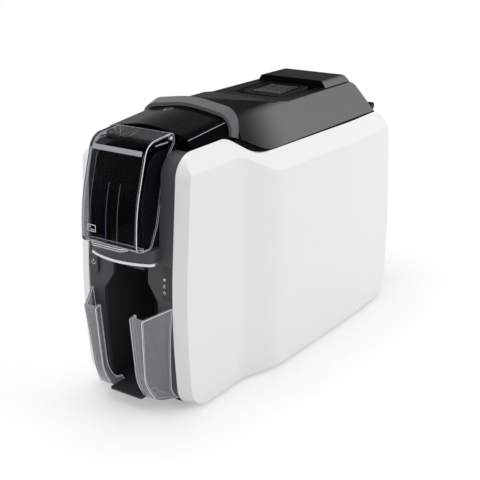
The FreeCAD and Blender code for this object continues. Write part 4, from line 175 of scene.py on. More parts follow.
dustColor = shade(150, 148, 144)
plain = {  # what a finish has where its own line says nothing else
    "roughness": 0.45, "spread": 0.18, "patch": 18.0, "drift": 0.08, "driftScale": 25.0,
    "grain": 1500.0, "cells": 0.5, "depth": 0.00003, "wear": 2.0,
    "wearColor": shade(120, 120, 122), "wearRadius": 0.0005, "dust": 0.0, "metal": 0.0,
    "gloss": 0.5, "coatRoughness": 0.1, "coatIor": 1.5, "clear": 0.0, "ior": 1.5, "brush": None,
    "paintedSheen": 0.0, "glow": 0.0,
}
finishes = {
    "shellWhite": {"color": shade(236, 236, 237), "roughness": 0.34, "spread": 0.14,
                   "grain": 2600.0, "depth": 0.000012, "wearColor": shade(246, 246, 247),
                   "wear": 1.0, "drift": 0.02, "gloss": 0.4},
    # the lid's sideways faces get a painted sheen from a shinier coat
    "lidBlack": {"color": shade(22, 22, 23), "roughness": 0.42, "grain": 1700.0, "depth": 0.00004,
                 "wearColor": shade(80, 80, 82), "dust": 0.02, "gloss": 0.004, "paintedSheen": 1.0,
                 "coatRoughness": 0.4, "coatIor": 2.0},
    "casingBlack": {"color": shade(38, 38, 40), "roughness": 0.5, "grain": 1700.0,
                    "depth": 0.00005, "wearColor": shade(92, 92, 94), "gloss": 0.12},
    "frontGraphite": {"color": shade(80, 82, 83), "roughness": 0.4, "depth": 0.00003,
                      "wearColor": shade(112, 114, 116), "gloss": 0.12},
    "bayBlack": {"color": shade(18, 18, 20), "roughness": 0.55, "depth": 0.00004,
                 "wearColor": shade(60, 60, 62), "gloss": 0.06},
    "binGrey": {"color": shade(66, 66, 68), "roughness": 0.5, "depth": 0.00003,
                "wearColor": shade(96, 96, 98), "gloss": 0.1},
    "cheekBlack": {"color": shade(44, 45, 47), "roughness": 0.45, "depth": 0.00002,
                   "wearColor": shade(80, 80, 82), "gloss": 0.06},
    "hoodGloss": {"color": shade(15, 15, 17), "roughness": 0.16, "spread": 0.08,
                  "depth": 0.000004, "wear": 0.8, "wearColor": shade(70, 70, 72), "gloss": 0.008,
                  "dust": 0.02},
    "collarSatin": {"color": shade(100, 100, 102), "roughness": 0.34, "depth": 0.00002,
                    "wearColor": shade(150, 150, 152), "gloss": 0.06},
    "steelSatin": {"color": shade(196, 198, 201), "roughness": 0.3, "metal": 1.0, "spread": 0.2,
                   "depth": 0.00001, "wearColor": shade(222, 223, 225),
                   "brush": (1.0, 30.0, 30.0)},
    "gearNatural": {"color": shade(222, 218, 206), "roughness": 0.42,
                    "wearColor": shade(236, 233, 224)},
    "rubberBlack": {"color": shade(34, 34, 35), "roughness": 0.75, "grain": 2400.0,
                    "depth": 0.00004, "wearColor": shade(70, 70, 70), "gloss": 0.15},
    "motorSteel": {"color": shade(132, 134, 138), "roughness": 0.34, "metal": 0.9,
                   "depth": 0.00001, "wearColor": shade(190, 191, 194),
                   "brush": (40.0, 2.0, 2.0)},
    "spoolGrey": {"color": shade(150, 152, 156), "roughness": 0.42,
                  "wearColor": shade(186, 187, 190)},
    "headAluminium": {"color": shade(206, 207, 209), "roughness": 0.28, "metal": 1.0,
                      "depth": 0.00001, "wearColor": shade(232, 232, 233),
                      "brush": (1.0, 30.0, 30.0)},
    "trimSilver": {"color": shade(214, 216, 219), "roughness": 0.22, "metal": 0.8,
                   "depth": 0.000006, "wearColor": shade(240, 240, 242),
                   "brush": (1.0, 40.0, 40.0)},
    "screwZinc": {"color": shade(158, 158, 162), "roughness": 0.34, "metal": 1.0,
                  "depth": 0.00001, "wearColor": shade(200, 200, 203),
                  "brush": (20.0, 20.0, 1.0)},
    "statusGlass": {"color": shade(72, 74, 76), "roughness": 0.16, "spread": 0.08,
                    "depth": 0.000004, "wearColor": shade(104, 106, 108), "gloss": 0.08},
    "sealRubber": {"color": shade(14, 14, 15), "roughness": 0.7, "wearColor": shade(44, 44, 45),
                   "gloss": 0.1},
    "doorClear": {"color": shade(186, 190, 194), "roughness": 0.02, "spread": 0.01, "clear": 1.0,
                  "ior": 1.07, "depth": 0.0000004, "wear": 0.3, "wearColor": shade(240, 241, 242),
                  "gloss": 0.08},
    "wingClear": {"color": shade(190, 193, 196), "roughness": 0.07, "spread": 0.06, "clear": 0.72,
                  "ior": 1.4, "depth": 0.000003, "wear": 0.8, "wearColor": shade(244, 245, 246),
                  "gloss": 0.2},
    "ribbonFilm": {"color": shade(60, 34, 92), "roughness": 0.18, "spread": 0.1,
                   "depth": 0.000003, "wearColor": shade(90, 60, 120)},
    "boardGreen": {"color": shade(20, 92, 56), "roughness": 0.3,
                   "wearColor": shade(120, 150, 110)},
    # painted highlight with a faint glow, for lit edges of clear plastic and the door pins' ends
    "paintedHighlightGlow": {"color": shade(232, 235, 238), "roughness": 0.25, "depth": 0.000002,
                   "wear": 0.5, "wearColor": shade(246, 247, 248), "gloss": 0.4, "glow": 0.12},
    # painted light: pale, dim and violet lines for reflections and lit ribs on the clear door,
    # and highlights on the hood's creases and the latch's ribs
    "paintedLightPale": {"color": shade(158, 162, 166), "roughness": 0.35, "depth": 0.000004,
                  "wearColor": shade(190, 193, 196), "gloss": 0.2},
    "paintedLightDim": {"color": shade(84, 88, 92), "roughness": 0.35, "depth": 0.000004,
                 "wearColor": shade(120, 123, 126), "gloss": 0.1},
    "paintedLightViolet": {"color": shade(88, 78, 112), "roughness": 0.35, "depth": 0.000004,
                    "wearColor": shade(120, 112, 140), "gloss": 0.1},
    "markWhite": {"color": shade(226, 228, 230), "roughness": 0.4, "depth": 0.000004,
                  "drift": 0.03, "wear": 0.4, "wearColor": shade(200, 201, 203), "gloss": 0.2},
    "markGrey": {"color": shade(150, 152, 154), "roughness": 0.4, "depth": 0.000004,
                 "drift": 0.03, "wear": 0.4, "wearColor": shade(120, 121, 123), "gloss": 0.2},
    "contactGold": {"color": shade(212, 176, 96), "roughness": 0.25, "metal": 1.0,
                    "depth": 0.000004, "wearColor": shade(236, 210, 150),
                    "brush": (30.0, 1.0, 30.0)},
    "filmYellow": {"color": shade(226, 190, 40), "roughness": 0.2, "spread": 0.1,
                   "depth": 0.000003, "wearColor": shade(236, 210, 90), "gloss": 0.3},
    "filmMagenta": {"color": shade(168, 36, 104), "roughness": 0.2, "spread": 0.1,
                    "depth": 0.000003, "wearColor": shade(190, 80, 130), "gloss": 0.3},
    "filmCyan": {"color": shade(30, 120, 168), "roughness": 0.2, "spread": 0.1, "depth": 0.000003,
                 "wearColor": shade(80, 150, 190), "gloss": 0.3},
}


def makeFinish(name, own):  # a material from the plain values and its own
    s = {**plain, **own}
    material = bpy.data.materials.new(name)
    material.use_nodes = True
    tree = material.node_tree
    shader = tree.nodes["Principled BSDF"]

    def effect(group, **sockets):
        return put(tree, "Group", sockets, node_tree=group).outputs[0]

    def blend(mask, under, over):
        return put(tree, "Mix", {"Factor": mask, "A": under, "B": over},
                   data_type="RGBA").outputs["Result"]

    drift = effect(colourDrift, Color=s["color"], Amount=s["drift"], Scale=s["driftScale"])
    wear = effect(edgeWear, Radius=s["wearRadius"], Gain=s["wear"])
    colour = blend(wear, drift, s["wearColor"])
    if s["dust"]:
        colour = blend(effect(restingDust, Amount=s["dust"]), colour, dustColor)
    if s["brush"]:
        relief = effect(brushing, Stretch=s["brush"])
    else:
        relief = effect(mouldGrain, Scale=s["grain"], Cells=s["cells"])
    bump = put(tree, "Bump", {"Height": relief, "Distance": s["depth"]})
    tree.links.new(colour, shader.inputs["Base Color"])
    tree.links.new(effect(handling, Roughness=s["roughness"], Spread=s["spread"],
                          Scale=s["patch"]), shader.inputs["Roughness"])
    tree.links.new(bump.outputs[0], shader.inputs["Normal"])
    for socket, key in (("Metallic", "metal"), ("Specular IOR Level", "gloss"),
                        ("Coat Roughness", "coatRoughness"), ("Coat IOR", "coatIor"),
                        ("Transmission Weight", "clear"), ("IOR", "ior")):
        shader.inputs[socket].default_value = s[key]
    # painted sheen: a coat on sideways faces only
    if s["paintedSheen"]:
        tree.links.new(effect(paintedSideSheen, Amount=s["paintedSheen"]), shader.inputs["Coat Weight"])
    # a faint glow, for painted highlights
    if s["glow"]:
        tree.links.new(colour, shader.inputs["Emission Color"])
        shader.inputs["Emission Strength"].default_value = s["glow"]
    return material


materials = {name: makeFinish(name, own) for name, own in finishes.items()}

nodeFinishes = {
    "shellWhite": ["side_cover_right", "side_cover_left"],
    "lidBlack": ["lid_cover", "latch_button"],
    "casingBlack": ["lid_inner_frame", "rear_panel", "base_chassis", "lid_hinge_pins"],
    "frontGraphite": ["front_fascia", "power_button"],
    "bayBlack": ["lid_deck", "card_guide", "data_socket", "network_socket", "power_inlet"],
    "binGrey": ["output_bin"],
    "cheekBlack": ["hopper_housing"],
    "hoodGloss": ["front_hood"],
    "collarSatin": ["lid_collar"],
    "steelSatin": ["side_frame_left", "side_frame_right", "tie_rods", "idler_studs",
                   "latch_hooks", "latch_catches", "door_hinge_pins", "pinch_roller_front",
                   "pinch_roller_rear"],
    "gearNatural": ["platen_gear", "feed_gear", "transport_gear_front", "transport_gear_rear",
                    "idler_gear_front", "idler_gear_middle", "idler_gear_rear",
                    "ribbon_idler_gear", "takeup_gear", "motor_pinion"],
    "rubberBlack": ["feet", "platen_roller", "feed_roller", "transport_roller_front",
                    "transport_roller_rear"],
    "motorSteel": ["drive_motor"],
    "spoolGrey": ["takeup_spool", "supply_spool"],
    "headAluminium": ["head_bracket", "printhead"],
    "trimSilver": ["trim_strip"],
    "screwZinc": ["cover_screws", "tie_rod_screws"],
    "statusGlass": ["status_window"],
    "sealRubber": ["lid_seal"],
    "doorClear": ["hopper_door"],
    "wingClear": ["output_wing_right", "output_wing_left"],
    "ribbonFilm": ["ribbon_film", "takeup_ribbon_roll", "supply_ribbon_roll"],
    "boardGreen": ["control_board"],
}
for finish, members in nodeFinishes.items():
    for member in members:
        nodes[member].data.materials.clear()
        nodes[member].data.materials.append(materials[finish])
print("finishes on", sum(len(m) for m in nodeFinishes.values()), "of", len(nodes), "nodes")


rimDepth = 171.25  # from the covers' front rims back to the origin, in mm as all below
overhead = 300.0  # a height over every piece, from which marks are laid down
smoothAngle = math.radians(35)
cornerSegments, ringVertices, chamferSegments = 4, 40, 2
farthest = 0.9999  # share of a sheet's half diagonal past which only corners lie
facingShare = 0.9  # how well a face picked for its direction has to look that way
sides = ((1, "right"), (-1, "left"))
front, above = (math.pi / 2, 0, 0), (0, 0, 0)  # turns of a flat piece, by where it is seen from
behind, beside = (-math.pi / 2, 0, 0), (math.pi / 2, 0, math.pi / 2)
fromFront, fromTop, fromBehind = ("y", 1), ("z", -1), ("y", -1)  # ways to lay it on a node


def spot(x, depth, height):  # millimetres, depth from the covers' front rims, to metres
    return Vector((x / 1000, (depth - rimDepth) / 1000, height / 1000))


def begin(name, kind, stretch, where, turn=(0, 0, 0), **more):  # a primitive, placed and scaled
    bpy.ops.object.select_all(action="DESELECT")
    getattr(bpy.ops.mesh, "primitive_" + kind + "_add")(location=where, rotation=turn, **more)
    made = bpy.context.object
    made.name = made.data.name = name
    made.scale = stretch
    bpy.ops.object.transform_apply(location=True, rotation=True, scale=True)
    return made


def pick(made, kind, test):  # selects in edit mode what the test holds for
    bpy.ops.object.mode_set(mode="OBJECT")
    bpy.context.tool_settings.mesh_select_mode = tuple(
        kind == group for group in ("vertices", "edges", "polygons"))
    for group in (made.data.vertices, made.data.edges, made.data.polygons):
        for item in group:
            item.select = False
    for item in getattr(made.data, kind):
        item.select = bool(test(item))
    bpy.ops.object.mode_set(mode="EDIT")


def settle(made, finish, body):  # normals, shading, finish and body
    bpy.ops.object.mode_set(mode="EDIT")
    bpy.ops.mesh.select_all(action="SELECT")
    bpy.ops.mesh.normals_make_consistent(inside=False)
    bpy.ops.object.mode_set(mode="OBJECT")
    bpy.ops.object.shade_smooth_by_angle(angle=smoothAngle)
    made.data.materials.clear()
    made.data.materials.append(materials[finish])
    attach(made, body)


def lay(made, target, way, sheet, finish, body, slot=None):  # drapes a flat piece on a node
    (axis, toward), (lift, thick) = way, sheet
    wrap = made.modifiers.new("drape", "SHRINKWRAP")
    wrap.target, wrap.wrap_method, wrap.wrap_mode = nodes[target], "PROJECT", "ABOVE_SURFACE"
    setattr(wrap, "use_project_" + axis, True)
    wrap.use_negative_direction, wrap.use_positive_direction = toward < 0, toward > 0
    wrap.offset = lift / 1000
    solid = made.modifiers.new("sheet", "SOLIDIFY")
    solid.thickness, solid.offset = thick / 1000, 0.0
    bpy.ops.object.modifier_apply(modifier="drape")
    bpy.ops.object.modifier_apply(modifier="sheet")
    settle(made, finish, body)


def strip(name, where, size, turn, cuts, corner):  # a gridded sheet with rounded corners
    made = begin(name, "grid", (size[0] / 1000, size[1] / 1000, 1), where, turn, size=1,
                 x_subdivisions=cuts[0], y_subdivisions=cuts[1])
    reach = farthest * max((v.co - where).length for v in made.data.vertices)
    pick(made, "vertices", lambda v: (v.co - where).length > reach)
    bpy.ops.mesh.bevel(offset=corner / 1000, segments=cornerSegments, affect="VERTICES")
    bpy.ops.object.mode_set(mode="OBJECT")
    return made


def ring(name, where, radius, band, turn):  # a flat ring, the band inside its radius
    made = begin(name, "circle", (1, 1, 1), where, turn, radius=radius / 1000,
                 vertices=ringVertices)
    pick(made, "edges", lambda e: True)
    bpy.ops.mesh.extrude_region_move()
    share = 1 - band / radius
    bpy.ops.transform.resize(value=(share, share, share), center_override=where)
    bpy.ops.object.mode_set(mode="OBJECT")
    return made


def outline(ends, wide, tall, line):  # sides of a rectangle: name, two offsets, two sizes
    return [(name, 0, way * tall / 2, wide, line) for name, way in ends] + [
        (name, way * wide / 2, 0, line, tall) for name, way in (("left", -1), ("right", 1))]


rimSettings = {"sharp": 40, "weld": 0.005, "roundness": 1}
rimNodes = {  # node: body, share of its size, wire radius in mm
    "hopper_door": ("hopper_door", 0.994, 0.26),
    "output_wing_right": ("printer", 0.992, 0.3),
    "output_wing_left": ("printer", 0.992, 0.3),
}


def makeRims(rims, s):  # light caught in the edges of clear plastic
    for name, (body, share, radius) in rims.items():
        bpy.ops.object.select_all(action="DESELECT")
        rim = nodes[name].copy()
        rim.data = nodes[name].data.copy()
        bpy.context.scene.collection.objects.link(rim)
        rim.select_set(True)
        bpy.context.view_layer.objects.active = rim
        pick(rim, "edges", lambda e: True)
        bpy.ops.mesh.remove_doubles(threshold=s["weld"] / 1000)
        bpy.ops.mesh.select_all(action="DESELECT")
        bpy.ops.mesh.edges_select_sharp(sharpness=math.radians(s["sharp"]))
        bpy.ops.mesh.mark_seam(clear=False)
        bpy.ops.mesh.select_all(action="SELECT")
        bpy.ops.mesh.delete(type="ONLY_FACE")
        pick(rim, "edges", lambda e: not e.use_seam)
        bpy.ops.mesh.delete(type="EDGE")
        bpy.ops.mesh.select_all(action="SELECT")
        low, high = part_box(name)
        middle = (Vector(low) + Vector(high)) / 2
        bpy.ops.transform.resize(value=(share, share, share), center_override=middle)
        bpy.ops.object.mode_set(mode="OBJECT")
        bpy.ops.object.convert(target="CURVE")
        rim = bpy.context.object
        rim.data.bevel_depth, rim.data.bevel_resolution = radius / 1000, s["roundness"]
        bpy.ops.object.convert(target="MESH")
        rim = bpy.context.object
        rim.name = rim.data.name = name + "_rim"
        settle(rim, "paintedHighlightGlow", body)


doorSettings = {"ahead": -40.0, "sheet": (0.12, 0.2), "bendHeight": 240.5,
                "bendSize": (54.0, 4.0), "bendCuts": (30, 12), "bendCorner": 1.6}
doorBands = {  # name: middle x, width, lower and upper height, finish, cuts along
    "door_light_left": (-28.6, 1.6, 164.0, 240.0, "paintedLightPale", 40),
    "door_rib_light_one": (-21.0, 0.7, 162.0, 236.0, "paintedLightDim", 40),
    "door_rib_light_two": (-3.0, 0.6, 163.0, 214.0, "paintedLightViolet", 30),
    "door_rib_light_three": (9.5, 0.6, 163.0, 214.0, "paintedLightDim", 30),
    "door_light_right": (29.2, 0.9, 164.0, 240.0, "paintedLightDim", 40),
}


def makeDoorBands(bands, s):  # painted reflections and lit ribs on the clear door, and the light in its bend
    for name, (x, width, low, high, finish, cuts) in bands.items():
        where = spot(x, s["ahead"], (low + high) / 2)
        band = strip(name, where, (width, high - low), front, (2, cuts), width / 4)
        lay(band, "hopper_door", fromFront, s["sheet"], finish, "hopper_door", "smoke_clear")
    bend = strip("door_light_bend", spot(0, s["ahead"], s["bendHeight"]), s["bendSize"], front,
                 s["bendCuts"], s["bendCorner"])
    lay(bend, "hopper_door", fromFront, s["sheet"], "paintedLightPale", "hopper_door", "smoke_clear")


gussetLightSettings = {"depth": 11.0, "size": (0.6, 17.0), "cuts": (2, 20), "corner": 0.12,
                  "sheet": (0.1, 0.16),
                  "places": ((-17.5, -0.16), (-12.5, 0.16), (-2.5, -0.16), (2.5, 0.16))}


def makeGussetLights(s):  # painted light: lighter slanted lines for the ribs over the door's bend
    for number, (x, slant) in enumerate(s["places"]):
        gusset = strip("door_gusset_light_" + str(number + 1), spot(x, s["depth"], overhead),
                       s["size"], (0, 0, slant), s["cuts"], s["corner"])
        lay(gusset, "hopper_door", fromTop, s["sheet"], "paintedLightDim", "hopper_door", "smoke_clear")


glintSettings = {"place": (60.0, 12.0, 245.5), "size": (17.0, 1.3), "cuts": (20, 4),
                 "corner": 0.5, "sheet": (0.08, 0.12), "upper": 0.4, "before": 8.0,
                 "drop": 0.6}


def makeGlints(s):  # short bent reflections on the door's cheeks
    x, depth, height = s["place"]
    for side, label in sides:
        where = spot(x * side, depth, height)
        glint = strip("door_glint_" + label, where, s["size"], beside, s["cuts"], s["corner"])
        pick(glint, "vertices", lambda v: v.co.z > where.z + s["upper"] / 1000
             and v.co.y < spot(0, s["before"], 0).y)
        bpy.ops.transform.translate(value=(0, 0, -s["drop"] / 1000))
        bpy.ops.object.mode_set(mode="OBJECT")
        lay(glint, "hopper_door", ("x", -side), s["sheet"], "paintedLightPale", "hopper_door",
            "smoke_clear")


cardMark = {"place": (-19.0, 172.5), "size": (8.6, 5.6), "line": 0.6, "cuts": (6, 6),
            "corner": 0.15, "sheet": (0.14, 0.14), "text": (0.8, -1.2, 4.3),
            "dot": (-2.15, 0.9), "dotRadius": 0.9, "dotBand": 0.5}


def makeCardMark(s, ahead):  # a plain card pictogram low on the door
    x, height = s["place"]
    lines = outline((("top", 1), ("foot", -1)), *s["size"], s["line"])
    aside, rise, long = s["text"]
    for name, dx, dz, wide, tall in lines + [("line", aside, rise, long, s["line"])]:
        part = strip("door_mark_" + name, spot(x + dx, ahead, height + dz), (wide, tall), front,
                     s["cuts"], s["corner"])
        lay(part, "hopper_door", fromFront, s["sheet"], "markWhite", "hopper_door")
    aside, rise = s["dot"]
    dot = ring("door_mark_dot", spot(x + aside, ahead, height + rise), s["dotRadius"],
               s["dotBand"], front)
    lay(dot, "hopper_door", fromFront, s["sheet"], "markWhite", "hopper_door")


hingeHighlightSettings = {"place": (31.15, 25.0, 248.0), "radius": 1.5, "flat": 0.35, "inner": 0.3,
               "middle": 0.1, "segments": 24, "rings": 12}


def makeHingeHighlights(s):  # painted highlights with a faint glow on the ends of the door's pins, flatter towards the door
    x, depth, height = s["place"]
    for side, label in sides:
        where = spot(x * side, depth, height)
        cap = begin("hinge_highlight_" + label, "uv_sphere", (s["flat"], 1, 1), where,
                    segments=s["segments"], ring_count=s["rings"], radius=s["radius"] / 1000)
        pick(cap, "vertices", lambda v: (v.co.x - where.x) * side < -s["middle"] / 1000)
        bpy.ops.transform.resize(value=(s["inner"], 1, 1), center_override=where)
        bpy.ops.object.mode_set(mode="OBJECT")
        settle(cap, "paintedHighlightGlow", "printer")


markSettings = {  # shared by the marks on the front and on the hood
    "line": 0.45, "sheet": (0.1, 0.16), "ahead": -30.0, "corner": 0.1}
statusMarks = {"x": 38.3, "heights": (128.5, 122.5, 116.5), "dotted": 0, "barred": 1,
               "radius": 1.3, "dotRadius": 0.6, "dotBand": 0.4, "rises": (1.2, 0.0, -1.2),
               "barLong": 2.6, "barCuts": (6, 2)}


def makeStatusMarks(s, mark):  # plain pictograms on the status window
    target = ("status_window", fromFront, mark["sheet"], "markWhite", "printer")
    for number, height in enumerate(s["heights"]):
        label, where = "status_mark_" + str(number + 1), spot(s["x"], mark["ahead"], height)
        if number == s["barred"]:
            for step, rise in enumerate(s["rises"]):
                bar = strip(label + "_" + str(step + 1),
                            spot(s["x"], mark["ahead"], height + rise),
                            (s["barLong"], mark["line"]), front, s["barCuts"], mark["corner"])
                lay(bar, *target)
        else:
            lay(ring(label + "_ring", where, s["radius"], mark["line"], front), *target)
        if number == s["dotted"]:
            lay(ring(label + "_dot", where, s["dotRadius"], s["dotBand"], front), *target)


powerMark = {"x": -41.0, "height": 129.5, "radius": 2.3, "band": 0.5, "gapFrom": 1.3,
             "barHeight": 131.2, "barSize": (0.5, 2.6), "barCuts": (2, 6)}


def makePowerMark(s, mark):  # an open ring with a bar on the power button
    target = ("power_button", fromFront, mark["sheet"], "markWhite", "power_button")
    where = spot(s["x"], mark["ahead"], s["height"])
    bow = ring("power_mark_ring", where, s["radius"], s["band"], front)
    pick(bow, "polygons", lambda f: f.center.z > where.z + s["gapFrom"] / 1000)
    bpy.ops.mesh.delete(type="FACE")
    bpy.ops.object.mode_set(mode="OBJECT")
    lay(bow, *target)
    lay(strip("power_mark_bar", spot(s["x"], mark["ahead"], s["barHeight"]), s["barSize"],
              front, s["barCuts"], mark["corner"]), *target)


exitMarks = {"height": 139.0, "tall": 0.9, "cuts": (6, 2), "corner": 0.2,
             "places": ((7.6, 2.4), (11.6, 3.4))}


def makeExitMarks(s, mark):  # two short marks over the output
    for number, (x, wide) in enumerate(s["places"]):
        lay(strip("exit_mark_" + str(number + 1), spot(x, mark["ahead"], s["height"]),
                  (wide, s["tall"]), front, s["cuts"], s["corner"]),
            "front_fascia", fromFront, mark["sheet"], "markGrey", "printer")


hoodMark = {"place": (-12.0, 76.0), "size": (8.0, 4.4), "cuts": (8, 8), "stem": (-5.2, 3.4),
            "head": (-3.6, 2.2), "crease": (44.4, 57.5), "creaseSize": (0.35, 54.0),
            "creaseCuts": (2, 24)}


def makeHoodMarks(s, mark):  # a card outline with an arrow on the hood, and painted highlights along its creases
    (x, depth), line = s["place"], mark["line"]
    lines = outline((("front", -1), ("back", 1)), *s["size"], line)
    (stemAt, stemLong), (headAt, headWide) = s["stem"], s["head"]
    lines += [("stem", 0, stemAt, line, stemLong), ("head", 0, headAt, headWide, line)]
    for label, dx, dy, wide, tall in lines:
        lay(strip("hood_mark_" + label, spot(x + dx, depth + dy, overhead), (wide, tall), above,
                  s["cuts"], mark["corner"]),
            "front_hood", fromTop, mark["sheet"], "markGrey", "printer")
    x, depth = s["crease"]
    for side, label in sides:
        lay(strip("hood_crease_highlight_" + label, spot(x * side, depth, overhead), s["creaseSize"],
                  above, s["creaseCuts"], mark["corner"]),
            "front_hood", fromTop, mark["sheet"], "paintedLightPale", "printer")


latchSettings = {"ribs": 7, "x": 2.0, "first": 221.0, "pitch": 5.0, "size": (33.0, 1.3),
                 "cuts": (20, 3), "corner": 0.3, "sheet": (0.15, 0.6)}


def makeLatchRibs(s):  # grip ribs across the latch, coloured lighter than it as a painted highlight
    for number in range(s["ribs"]):
        depth = s["first"] + number * s["pitch"]
        lay(strip("latch_rib_" + str(number + 1), spot(s["x"], depth, overhead), s["size"],
                  above, s["cuts"], s["corner"]),
            "latch_button", fromTop, s["sheet"], "paintedLightDim", "latch_button", "black_matte")


grooveShadeSettings = {"place": (42.6, 226.0), "size": (0.8, 118.0), "cuts": (2, 40),
                  "corner": 0.2, "sheet": (0.06, 0.16)}


def makeLidGrooveShades(s):  # painted shade: dark lines for the shaded step beside the latch
    x, depth = s["place"]
    for side, label in sides:
        lay(strip("lid_groove_shade_" + label, spot(x * side, depth, overhead), s["size"], above,
                  s["cuts"], s["corner"]),
            "lid_cover", fromTop, s["sheet"], "bayBlack", "lid", "black_matte")


filmSettings = {"wide": 50.0, "cuts": (20, 10), "corner": 0.6, "sheet": (0.08, 0.1)}
filmPanels = {  # name: first and last depth, finish
    "film_panel_cyan": (172.0, 188.0, "filmCyan"),
    "film_panel_magenta": (226.0, 240.0, "filmMagenta"),
    "film_panel_yellow": (241.0, 255.0, "filmYellow"),
}


def makeFilmPanels(panels, s):  # dye panels on the ribbon
    for name, (start, end, finish) in panels.items():
        lay(strip(name, spot(0, (start + end) / 2, overhead), (s["wide"], end - start), above,
                  s["cuts"], s["corner"]),
            "ribbon_film", fromTop, s["sheet"], finish, "printer", "film")


boardSettings = {"face": 348.5, "inset": 0.8, "rise": 0.3, "bevel": 0.25}
boardParts = {  # name: x, height, width, tall, thick, finish, slot
    "board_chip_main": (6.0, 52.0, 16.0, 16.0, 1.8, "bayBlack", "black_matte"),
    "board_chip_memory": (26.0, 52.0, 9.0, 14.0, 1.4, "bayBlack", "black_matte"),
    "board_chip_driver": (-22.0, 58.0, 9.0, 9.0, 1.6, "bayBlack", "black_matte"),
    "board_crystal": (-8.0, 66.0, 8.0, 3.4, 2.4, "steelSatin", "steel"),
    "board_connector": (34.0, 72.0, 14.0, 5.0, 5.0, "gearNatural", "gear_white"),
    "board_coil": (-30.0, 36.0, 9.0, 9.0, 4.0, "motorSteel", "motor_metal"),
}


def makeBoardParts(parts, s):  # parts on the front face of the control board
    for name, (x, height, wide, tall, thick, finish, slot) in parts.items():
        where = spot(x, s["face"] - thick / 2, height)
        chip = begin(name, "cube", (wide / 1000, thick / 1000, tall / 1000), where, size=1)
        pick(chip, "polygons", lambda f: f.normal.y < -facingShare)
        bpy.ops.mesh.inset(thickness=s["inset"] / 1000, depth=s["rise"] / 1000)
        pick(chip, "edges", lambda e: all(
            chip.data.vertices[v].co.y < where.y for v in e.vertices))
        bpy.ops.mesh.bevel(offset=s["bevel"] / 1000, segments=chamferSegments)
        settle(chip, finish, "printer")


contactSettings = {"behind": 420.0, "height": 44.0, "size": (0.7, 2.6), "cuts": (3, 6),
                   "corner": 0.2, "sheet": (0.02, 0.16), "inlet": (26.0, 2.2, 1.2)}
contactRows = {  # socket: middle x, places beside it, distance of two rows from their middle
    "data_socket": (-30.0, (-2.5909, 2.5909), 1.8),
    "network_socket": (-4.0, (-3.5, -2.5, -1.5, -0.5, 0.5, 1.5, 2.5, 3.5), 0.0),
}


def makeContacts(rows, s):  # gilded contacts in the sockets at the back
    for target, (middle, places, apart) in rows.items():
        for number, aside in enumerate(places):
            for row, suffix in (((-1, ""), (1, "_up")) if apart else ((0, ""),)):
                where = spot(middle + aside, s["behind"], s["height"] + row * apart)
                lay(strip(target + "_contact_" + str(number + 1) + suffix, where, s["size"],
                          behind, s["cuts"], s["corner"]),
                    target, fromBehind, s["sheet"], "contactGold", "printer")
    x, radius, band = s["inlet"]
    lay(ring("inlet_contact", spot(x, s["behind"], s["height"]), radius, band, behind),
        "power_inlet", fromBehind, s["sheet"], "contactGold", "printer")


makeRims(rimNodes, rimSettings)
makeDoorBands(doorBands, doorSettings)
makeGussetLights(gussetLightSettings)
makeGlints(glintSettings)
makeCardMark(cardMark, doorSettings["ahead"])
makeHingeHighlights(hingeHighlightSettings)
print("door and wings trimmed")
makeStatusMarks(statusMarks, markSettings)
makePowerMark(powerMark, markSettings)
makeExitMarks(exitMarks, markSettings)
makeHoodMarks(hoodMark, markSettings)
makeLatchRibs(latchSettings)
makeLidGrooveShades(grooveShadeSettings)
print("marks and ribs laid on")
makeFilmPanels(filmPanels, filmSettings)
makeBoardParts(boardParts, boardSettings)
makeContacts(contactRows, contactSettings)
print("ribbon panels, board parts and contacts made")


stageSettings = {"floorHalf": 6.0, "fadeStart": 0.38, "fadeEnd": 0.8, "floorColor": 0.8,
                 "shownDiffuse": 0.66, "shownGlow": 0.36, "worldLight": 0.62}
white = (1, 1, 1, 1)


def grey(level):
    return (level,) * 3 + (1.0,)


def seenDirectly(tree):  # 1 where the camera, a mirror or clear plastic looks at it
    path = put(tree, "LightPath").outputs
    first = reckon(tree, "MAXIMUM", path["Is Camera Ray"], path["Is Glossy Ray"])
    return reckon(tree, "MAXIMUM", first, path["Is Transmission Ray"])


def makeWorld(s):
    world = bpy.data.worlds.new("studioWorld")
    bpy.context.scene.world = world
    world.use_nodes = True
    tree = world.node_tree
    tree.nodes.clear()
    light = put(tree, "Background", {"Color": white, "Strength": s["worldLight"]})
    seen = put(tree, "Background", {"Color": white, "Strength": 1.0})
    mixed = put(tree, "MixShader", {0: seenDirectly(tree), 1: light.outputs[0],
                                    2: seen.outputs[0]})
    put(tree, "OutputWorld", {"Surface": mixed.outputs[0]})


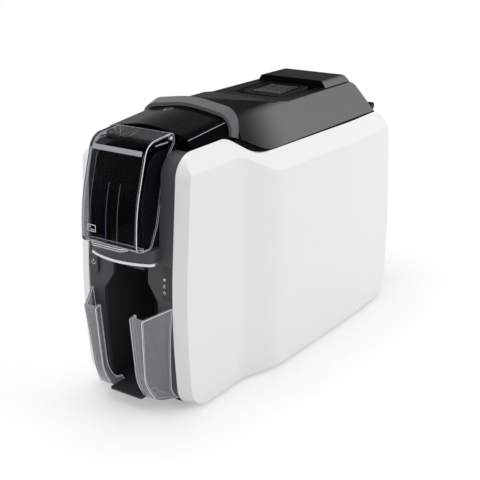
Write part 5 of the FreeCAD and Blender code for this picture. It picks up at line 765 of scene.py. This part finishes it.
def makeFloor(s):  # shown as a bright floor that fades to white, lights the object as a pale one
    bpy.ops.mesh.primitive_plane_add(size=2 * s["floorHalf"], location=(0, 0, 0))
    floor = bpy.context.object
    floor.name = "studioFloor"
    material = bpy.data.materials.new("floorPale")
    material.use_nodes = True
    tree = material.node_tree
    tree.nodes.clear()
    far = put(tree, "VectorMath", {0: onObject(tree)}, operation="LENGTH")
    fade = put(tree, "MapRange", {"Value": far.outputs["Value"], "From Min": s["fadeStart"],
                                  "From Max": s["fadeEnd"]}, interpolation_type="SMOOTHSTEP")
    lit = put(tree, "BsdfDiffuse", {"Color": grey(s["shownDiffuse"])})
    glow = put(tree, "Emission", {"Color": white, "Strength": s["shownGlow"]})
    near = put(tree, "AddShader", {0: lit.outputs[0], 1: glow.outputs[0]})
    away = put(tree, "Emission", {"Color": white, "Strength": 1.0})
    shown = put(tree, "MixShader", {0: fade.outputs[0], 1: near.outputs[0], 2: away.outputs[0]})
    pale = put(tree, "BsdfDiffuse", {"Color": grey(s["floorColor"])})
    mixed = put(tree, "MixShader", {0: seenDirectly(tree), 1: pale.outputs[0],
                                    2: shown.outputs[0]})
    put(tree, "OutputMaterial", {"Surface": mixed.outputs[0]})
    floor.data.materials.append(material)


lampSettings = {  # name: place, what it points at, size, watts
    "topSoftbox": ((-0.35, -0.1, 1.7), (0.0, 0.0, 0.1), 1.3, 10.5),
    "sideSoftbox": ((1.6, 0.75, 0.7), (0.05, 0.0, 0.12), 1.1, 10.2),
    "frontSoftbox": ((-0.7, -1.5, 0.8), (0.0, -0.1, 0.12), 0.9, 2.5),
}


def makeLamps(lamps):
    for name, (place, target, size, watts) in lamps.items():
        light = bpy.data.lights.new(name, "AREA")
        light.shape, light.size, light.energy = "SQUARE", size, watts
        lamp = bpy.data.objects.new(name, light)
        bpy.context.scene.collection.objects.link(lamp)
        lamp.location = place
        lamp.rotation_euler = (Vector(target) - Vector(place)).to_track_quat("-Z", "Y").to_euler()


cameraSettings = {"place": (0.52330, -0.76749, 0.43906), "azimuth": 34.20, "elevation": 19.65,
                  "lens": 71.892, "sensor": 36.0, "nearest": 0.01, "farthest": 50.0}


def makeCamera(s):  # as fitted to the photograph
    data = bpy.data.cameras.new("photoCamera")
    data.lens, data.sensor_width = s["lens"], s["sensor"]
    data.clip_start, data.clip_end = s["nearest"], s["farthest"]
    camera = bpy.data.objects.new("photoCamera", data)
    bpy.context.scene.collection.objects.link(camera)
    turn, rise = math.radians(s["azimuth"]), math.radians(s["elevation"])
    back = Vector((math.sin(turn) * math.cos(rise), -math.cos(turn) * math.cos(rise),
                   math.sin(rise)))
    camera.location = s["place"]
    camera.rotation_euler = (-back).to_track_quat("-Z", "Y").to_euler()
    bpy.context.scene.camera = camera


makeWorld(stageSettings)
makeFloor(stageSettings)
makeLamps(lampSettings)
makeCamera(cameraSettings)
bpy.context.scene.view_settings.view_transform = "Standard"
print("floor, lamps and camera placed")
